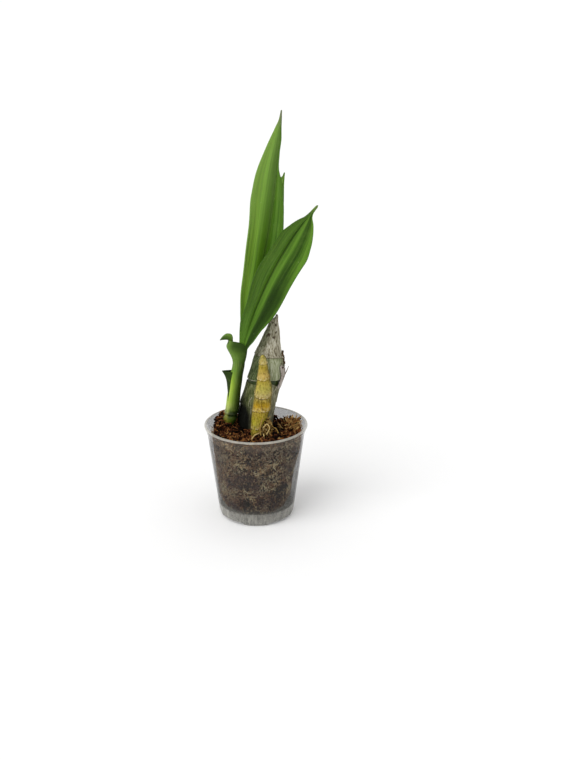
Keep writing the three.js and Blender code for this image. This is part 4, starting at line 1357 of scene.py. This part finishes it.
def make_mix_body():
    """The inside of the heap, seen only between the bits: dark brown, partly painted shade of the gaps
    between them.
    """
    sides = 96
    floor = FLOOR_Z + FLOOR_THICKNESS + 0.4

    def side(z, angle):
        lump = 0.5 + 0.5 * math.sin(5 * angle + 0.31 * z) * math.cos(0.23 * z - 3 * angle)
        return mix_side(angle, z) - 0.8 - 0.9 * lump

    def surface(x, y):
        return mix_top(x, y) - 0.9 + 0.6 * (mix_rise(x, y) - LEAST_RISE) + 0.6 * wave(x * 0.8, y * 0.8, 0)

    turns = [2 * math.pi * k / sides for k in range(sides)]
    brims = [surface(*polar(MIX_RADIUS, a)) - 1.2 for a in turns]
    points = []
    for share in [0, *evenly(0.03, 1, 30)]:
        for a, brim in zip(turns, brims):
            z = floor + 0.2 + (brim - floor - 0.2) * share
            points.append((*polar(side(z, a), a), z))
    for share in evenly(0.98, 0.04, 22):
        for a, brim in zip(turns, brims):
            x, y = polar(side(brim, a) * share, a)
            points.append((x, y, surface(x, y)))
    body = mesh_piece("mix_core", points, ring_faces(len(points) // sides, sides))
    set_attribute(body, "shade", [0.5 + 0.3 * wave(x * 0.3, y * 0.3, z * 0.3) for x, y, z in points])
    stops = [(0.0, (12, 6, 4)), (0.5, (34, 20, 14)), (1.0, (66, 42, 30))]
    dress(body, husk_finish("core_in_gap_shade", stops), "coir", "potting_mix")


def taken_shape():
    """The active piece as points and faces. The piece itself is removed."""
    bpy.ops.object.mode_set(mode="OBJECT")
    bit = bpy.context.object
    points = [Vector(v.co) for v in bit.data.vertices]
    faces = [tuple(p.vertices) for p in bit.data.polygons]
    bpy.data.objects.remove(bit, do_unlink=True)
    return points, faces


def crumb_shape():
    """A crumb of coir, modelled once: a lump with a few uneven facets."""
    deselect()
    bpy.ops.mesh.primitive_ico_sphere_add(subdivisions=1, radius=0.5, location=(0, 0, 0))
    bpy.ops.object.mode_set(mode="EDIT")
    bpy.ops.mesh.select_all(action="SELECT")
    bpy.ops.transform.vertex_random(offset=0.11, seed=4)
    return taken_shape()


def splinter_shape():
    """A splinter of husk, modelled once: a block, drawn out to a bent point at both ends."""
    deselect()
    bpy.ops.mesh.primitive_cube_add(size=1, location=(0, 0, 0), scale=(1, 1, 0.4))
    for sign in (1, -1):
        bpy.ops.object.mode_set(mode="EDIT")
        bpy.ops.mesh.select_mode(type="FACE")
        bpy.ops.mesh.select_all(action="DESELECT")
        bpy.ops.object.mode_set(mode="OBJECT")
        for face in bpy.context.object.data.polygons:
            face.select = face.normal.z * sign > 0.9
        bpy.ops.object.mode_set(mode="EDIT")
        bpy.ops.mesh.extrude_region_move(TRANSFORM_OT_translate={"value": (0.2, -0.15 * sign, 0.3 * sign)})
        bpy.ops.transform.resize(value=(0.3, 0.4, 1))
    bpy.ops.mesh.select_all(action="SELECT")
    bpy.ops.transform.vertex_random(offset=0.07, seed=9)
    return taken_shape()


def placed(points, size, turn, place):
    """A bit's points, stretched to size, with its axes along turn (three vectors), at place."""
    u, v, w = turn
    return [tuple(place + u * (p.x * size[0]) + v * (p.y * size[1]) + w * (p.z * size[2])) for p in points]


def lying_on(rng, normal, tilt):
    """Axes of a bit that lies on a surface with this normal, turned at random and tilted a little."""
    lean = Vector((rng.gauss(0, 1), rng.gauss(0, 1), rng.gauss(0, 1)))
    flat = (normal + lean * tilt).normalized()
    lengthwise = lean.cross(flat).normalized()
    return flat.cross(lengthwise), flat, lengthwise


def clamped(value):
    return min(max(value, 0), 1)


# Clumps of pale fibre (positive) and dark patches (negative) on the wall, as [angle, height, size,
# strength]
WALL_CLUMPS = [
    [-124, 62, 7, 0.35], [-62, 67, 6, 0.35], [-67, 48, 6, 0.45], [-123, 45, 6, 0.15], [-131, 28, 6, 0.4],
    [-75, 31, 6, 0.4], [-80, 13, 5, 0.2], [-96, 37, 5, -0.6], [-46, 30, 9, -0.7], [-101, 19, 7, -0.6],
    [-127, 15, 7, -0.6], [-61, 58, 5, -0.25], [-92, 62, 10, -0.15], [-38, 52, 8, -0.25], [-84, 24, 4, -0.3],
    [60, 55, 10, 0.3], [120, 30, 10, 0.3], [90, 20, 9, -0.3], [150, 62, 9, -0.2],
]

# Pale roots that lie against the wall, as [angle, height]
WALL_ROOTS = [
    [[-107, 38], [-104.5, 34.5], [-100, 33], [-95, 33.6], [-92.5, 36]], [[-96, 30], [-92, 28.5], [-88, 29.5]],
    [[-64, 62], [-66, 58], [-62, 54]], [[70, 44], [78, 40], [84, 42]], [[150, 30], [156, 36], [164, 37]],
]


def wall_shade(place, degrees):
    """From nearly black to straw: clumps of two sizes, and the ones in the list."""
    shade = 0.54 + 0.8 * noise.noise(place / 8) + 0.5 * noise.noise(place / 2.8)
    for angle, height, size, strength in WALL_CLUMPS:
        across = MIX_RADIUS * math.radians((degrees - angle + 180) % 360 - 180)
        shade += strength * math.exp(-(across ** 2 + (place.z - height) ** 2) / size ** 2)
    return shade + 0.06 * smoothstep(place.z, 45, 70) - 0.12 * smoothstep(30 - place.z, 0, 16)


def make_mix_by_wall(name, low, high, material):
    """What shows through the wall between two heights: crumbs, and short fibres in every direction."""
    points, faces = crumb_shape()
    rng = random.Random(name)
    heap = Heap()
    share = (high - low) / (MIX_TOP_Z - FLOOR_Z)
    for _ in range(round(WALL_CRUMBS * share)):
        angle = rng.uniform(0, 2 * math.pi)
        z = rng.uniform(low, high)
        normal = Vector((math.cos(angle), math.sin(angle), 0))
        size = (rng.uniform(0.5, 1.3), rng.uniform(0.4, 0.9), rng.uniform(0.7, 1.9))
        r = mix_side(angle, z) - size[1] / 2 - rng.uniform(-0.5, 1.4)
        place = normal * r + Vector((0, 0, z))
        shade = wall_shade(place, math.degrees(angle)) + rng.gauss(0, 0.34)
        bit = placed(points, size, lying_on(rng, normal, 0.45), place)
        if z < mix_top(place.x, place.y) + 0.4 * mix_rise(place.x, place.y):
            heap.add(bit, faces, clamped(shade))
    for _ in range(round(WALL_FIBRES * share)):
        angle = rng.uniform(0, 2 * math.pi)
        z = rng.uniform(low, high)
        bend, heading, step = rng.gauss(0, 0.3), rng.uniform(0, 2 * math.pi), rng.uniform(0.3, 1)
        path = []
        for _ in range(6):
            heading += bend
            angle += math.cos(heading) * step / MIX_RADIUS
            z = min(max(z + math.sin(heading) * step, FIBRE_LOWEST_Z), FIBRE_HIGHEST_Z)
            path.append(mix_side_point(angle, z, 0.1))
        shade = wall_shade(Vector(path[3]), math.degrees(angle)) + rng.gauss(0.08, 0.22)
        heap.add(*strand_mesh(path, [rng.uniform(0.1, 0.22)] * 6, 4), clamped(shade))
    for root in WALL_ROOTS:
        if low < root[0][1] < high:
            path = smooth_path([mix_side_point(math.radians(degrees), z, 0.3) for degrees, z in root], 4)
            heap.add(*strand_mesh(path, [0.32] * len(path), 6), 1.0)
    dress(heap.piece(name, smooth=False), material, "coir")


def stands_clear(x, y):
    """Whether a place on the mix's top is outside all that stands in it."""
    return all(math.hypot(x - cx, y - cy) > r for (cx, cy), r in FOOTPRINTS)


def straw_share(x, y):
    """How much of what lies at a place is straw."""
    return near(x, y, 33, 7, 10)


def top_shade(x, y):
    """Straw-coloured towards the right, red-brown at the left, and nearly black with painted shade in the
    hollows.
    """
    straw = straw_share(x, y) + 0.4 * near(x, y, 12, -8, 7)
    # Painted shade: nearly black in the hollow by the old bulb's right side and in the one between the shoot
    # and the small bulb; darker also in front at the right
    painted_hollow_shade = 1.5 * near(x, y, 19, 3, 8) + 1.4 * near(x, y, 19, 15, 10)
    dark = painted_hollow_shade + near(x, y, -12, 1, 7) + near(x, y, 17, -15, 9)
    clumps = noise.noise(Vector((x, y, 0)) / 5)
    return 0.27 + 0.42 * straw - 0.26 * dark + 0.34 * clumps


def in_the_pot(points):
    """Whether all of a bit stays off the wall, further at the left. The pile at the back left touches it."""
    for x, y, z in points:
        gap = 0.4 if near(x, y, -30, 21, 11) > 0.4 else MIX_INSET + 3.4 * smoothstep(-x, 14, 36)
        if math.hypot(x, y) > inside_radius(min(z, 82)) - gap:
            return False
    return True


def make_mix_on_top():
    crumb, crumb_faces = crumb_shape()
    splinter, splinter_faces = splinter_shape()
    rng = random.Random(8)
    heap = Heap()

    def somewhere():
        while True:
            r = 42 * math.sqrt(rng.random())
            x, y = polar(r, rng.uniform(0, 2 * math.pi))
            if stands_clear(x, y):
                return x, y

    for i in range(TOP_BITS):
        x, y = somewhere()
        straw = straw_share(x, y)
        if i % 5 or straw > 0.5 and i % 2:
            shape, faces = crumb, crumb_faces
            size = (rng.uniform(1, 3.2), rng.uniform(0.9, 2.4), rng.uniform(1.2, 4))
        else:
            shape, faces = splinter, splinter_faces
            size = (rng.uniform(0.5, 1.1), rng.uniform(0.4, 0.9), rng.uniform(2.5, 6) + 2 * straw)
        place = Vector((x, y, mix_top(x, y) + mix_rise(x, y) * (1 - rng.random() ** 1.6) - 0.6))
        # Bits that lie higher are lighter and lower ones darker: painted shade down in the heap
        shade = top_shade(x, y) + rng.gauss(0, 0.22) + 0.012 * (place.z - MIX_TOP_Z)
        points = placed(shape, size, lying_on(rng, Vector((0, 0, 1)), 0.8 + straw), place)
        if in_the_pot(points):
            heap.add(points, faces, clamped(shade))
    for _ in range(TOP_FIBRES):
        x, y = somewhere()
        straw = straw_share(x, y)
        place = Vector((x, y, mix_top(x, y) + mix_rise(x, y) * rng.random()))
        heading, climb = rng.uniform(0, 2 * math.pi), rng.uniform(-0.2, 0.9) + 0.7 * straw
        step = rng.uniform(0.6, 1.3) + 0.3 * straw
        path = [tuple(place)]
        for _ in range(5):
            heading += rng.uniform(-0.7, 0.7)
            climb -= rng.uniform(0.05, 0.4) * (1 - 0.6 * straw)
            place = place + Vector((math.cos(heading), math.sin(heading), climb)).normalized() * step
            path.append(tuple(place))
        if in_the_pot(path):
            shade = top_shade(x, y) + rng.gauss(0.14, 0.15)
            heap.add(*strand_mesh(path, [rng.uniform(0.14, 0.34)] * 6, 4), clamped(shade))
    for _ in range(STRAWS):
        x, y = (middle + rng.gauss(0, spread) for middle, spread in zip(STRAW_CENTRE, STRAW_SPREAD))
        fanned = 0.1 * (x - 30)
        heading = Vector((fanned + rng.gauss(0, 0.35), rng.gauss(-0.3, 0.35), rng.uniform(0.5, 1.2)))
        heading.normalize()
        length = rng.uniform(3.5, 8)
        across = heading.orthogonal().normalized()
        place = Vector((x, y, mix_top(x, y) + 0.75 * mix_rise(x, y))) + heading * length / 2
        size = (rng.uniform(0.5, 0.9), rng.uniform(0.4, 0.8), length / 1.6)
        points = placed(splinter, size, (across, heading.cross(across), heading), place)
        if in_the_pot(points):
            heap.add(points, splinter_faces, rng.choice((0.1, 0.5, 0.62, 0.75, 0.9, 1)))
    seen = heap.piece("mix_on_top", smooth=False)
    stops = [
        (0.0, (8, 3, 1)), (0.2, (24, 11, 4)), (0.38, (84, 43, 22)), (0.55, (142, 90, 50)),
        (0.75, (176, 130, 72)), (1.0, (222, 188, 120)),
    ]
    dress(seen, husk_finish("husk_on_top", stops), "coir")


# Stage

def make_stage():
    """A white floor that runs out of view, an even white surround, and one broad soft light from the left."""
    deselect()
    bpy.ops.mesh.primitive_plane_add(size=120, location=(0, 0, -0.0002))
    floor = bpy.context.object
    floor.name = "floor"
    s = Surface("pale_floor", roughness=0.8, specular=0.1)
    paper = s.ramp(s.noise((3, 3, 3), detail=2), [(0.3, (255, 255, 255)), (0.7, (252, 252, 252))], gain=1)
    floor.data.materials.append(s.finish(paper))

    data = bpy.data.lights.new("soft_key", "SUN")
    data.energy = 1.6
    data.angle = math.radians(55)
    key = bpy.data.objects.new("soft_key", data)
    key.rotation_euler = Vector((0.62, 0.6, -0.75)).to_track_quat("-Z", "Y").to_euler()
    bpy.context.collection.objects.link(key)

    world = bpy.data.worlds.new("studio")
    world.use_nodes = True
    background = world.node_tree.nodes["Background"]
    background.inputs["Color"].default_value = (1, 1, 1, 1)
    background.inputs["Strength"].default_value = 0.74
    bpy.context.scene.world = world
    bpy.context.scene.view_settings.view_transform = "Standard"

    # Pinhole that puts the rim and the base where the photograph has them
    focal_pixels = 1100
    frame_height = 760
    pitch_down = 19.6
    data = bpy.data.cameras.new("camera")
    data.sensor_width = 36
    data.lens = 36 * focal_pixels / frame_height
    data.clip_start = 0.01
    data.clip_end = 200
    camera = bpy.data.objects.new("camera", data)
    camera.location = to_frame((25.335, -892.129, 441.705))
    camera.rotation_euler = (math.radians(90 - pitch_down), 0, 0)
    bpy.context.collection.objects.link(camera)
    bpy.context.scene.camera = camera


# Colours across each leaf, from its left margin (0) over the midrib (0.5) to its right margin (1). Their
# light and dark bands are painted shading of the folds and of the midrib's groove, and the inner leaf's
# colours are painted lighter to offset the shade it lies in.
LEAF_STOPS = {
    "leaf_tall": [
        (0.0, (150, 180, 110)), (0.025, (132, 170, 70)), (0.12, (128, 170, 54)), (0.3, (100, 144, 34)),
        (0.42, (82, 126, 22)), (0.5, (44, 80, 0)), (0.57, (64, 106, 8)), (0.7, (72, 116, 16)),
        (0.88, (74, 116, 20)), (1.0, (66, 104, 26)),
    ],
    "leaf_inner": [
        (0.0, (140, 190, 66)), (0.45, (140, 190, 66)), (0.5, (96, 146, 34)), (0.55, (140, 190, 66)),
        (0.9, (140, 190, 66)), (1.0, (110, 156, 44)),
    ],
    "leaf_front": [
        (0.0, (66, 102, 26)), (0.06, (82, 120, 34)), (0.4, (78, 118, 28)), (0.495, (34, 66, 4)),
        (0.525, (100, 146, 42)), (0.6, (104, 150, 44)), (0.67, (54, 92, 8)), (0.78, (48, 86, 4)),
        (0.87, (80, 122, 24)), (0.95, (104, 150, 42)), (1.0, (88, 132, 34)),
    ],
}
# The colour of each leaf's tip, how much it pales towards it, and where and how darkly a painted shadow lies
# on it
LEAF_LOOKS = {
    "leaf_tall": ((122, 124, 98), 0.4, (0.44, 0.62), (0.5, 0.78), 0.5),
    "leaf_inner": ((130, 170, 70), 0.2, (0.46, 0.5), (0.2, 0.4), 0.3),
    "leaf_front": ((130, 158, 72), 0.0, (0.6, 0.92), (0.44, 0.66), 0.85),
}
# Colours of the dry sheaths: a ramp where they are opaque, one where they are a veil, and their torn edges
SHEATH_LOOKS = {
    "dry_cone": (
        ((94, 84, 62), (168, 162, 138), (216, 212, 192)),
        ((80, 82, 52), (130, 130, 102), (176, 174, 150)), (110, 92, 70)),
    "dry_band": (
        ((112, 120, 82), (156, 162, 124), (198, 202, 172)),
        ((50, 64, 26), (88, 102, 58), (136, 144, 104)), (180, 180, 150)),
    "dry_skirt": (
        ((74, 70, 46), (124, 122, 90), (170, 168, 140)),
        ((52, 62, 26), (96, 104, 58), (146, 148, 108)), (120, 118, 88)),
}

make_stage()
make_pot()
make_pseudobulb()
cone, band, skirt = (sheath_finish(name, *looks) for name, looks in SHEATH_LOOKS.items())
for sheath, finish in zip(SHEATHS, (cone, band, skirt, skirt)):
    make_sheath(sheath, **SHEATHS[sheath], material=finish)
make_tatters()
make_yellow_bulb()
make_shoot()
for leaf_name, leaf in LEAVES.items():
    finish = leaf_finish(leaf_name + "_skin", LEAF_STOPS[leaf_name], *LEAF_LOOKS[leaf_name])
    make_blade(leaf_name, leaf, finish)
# Colours across the upper bract: lighter at its left, towards the light, darker round to its right: painted
# shade
make_upper_bract(bract_finish("bract_upper_skin", [
    (0.0, (54, 78, 18)), (0.12, (62, 90, 24)), (0.24, (82, 114, 36)), (0.34, (100, 134, 48)),
    (0.45, (108, 142, 56)), (0.55, (100, 134, 52)), (0.75, (76, 108, 34)), (1.0, (58, 86, 22)),
], 0.9))
# Colours across the lower bract: near black green, painted shade as inside its cup, with a lighter line along
# its keel
make_lower_bract(bract_finish("bract_lower_skin", [
    (0.0, (44, 66, 8)), (0.3, (34, 54, 2)), (0.46, (40, 60, 8)), (0.5, (84, 100, 52)), (0.54, (40, 60, 8)),
    (0.7, (34, 54, 2)), (1.0, (44, 66, 8)),
], 0.0))
make_roots()
make_mix_body()
by_the_wall = husk_finish("husk_by_the_wall", [
    (0.0, (6, 4, 3)), (0.2, (40, 26, 20)), (0.4, (136, 100, 80)), (0.55, (192, 148, 114)),
    (0.75, (244, 206, 148)), (1.0, (255, 240, 194)),
], red=0.45, grey=0.5)
make_mix_by_wall("mix_by_the_wall_low", FLOOR_Z + 2, 34, by_the_wall)
make_mix_by_wall("mix_by_the_wall_middle", 34, 56, by_the_wall)
make_mix_by_wall("mix_by_the_wall_high", 56, MIX_TOP_Z + 1, by_the_wall)
make_mix_on_top()
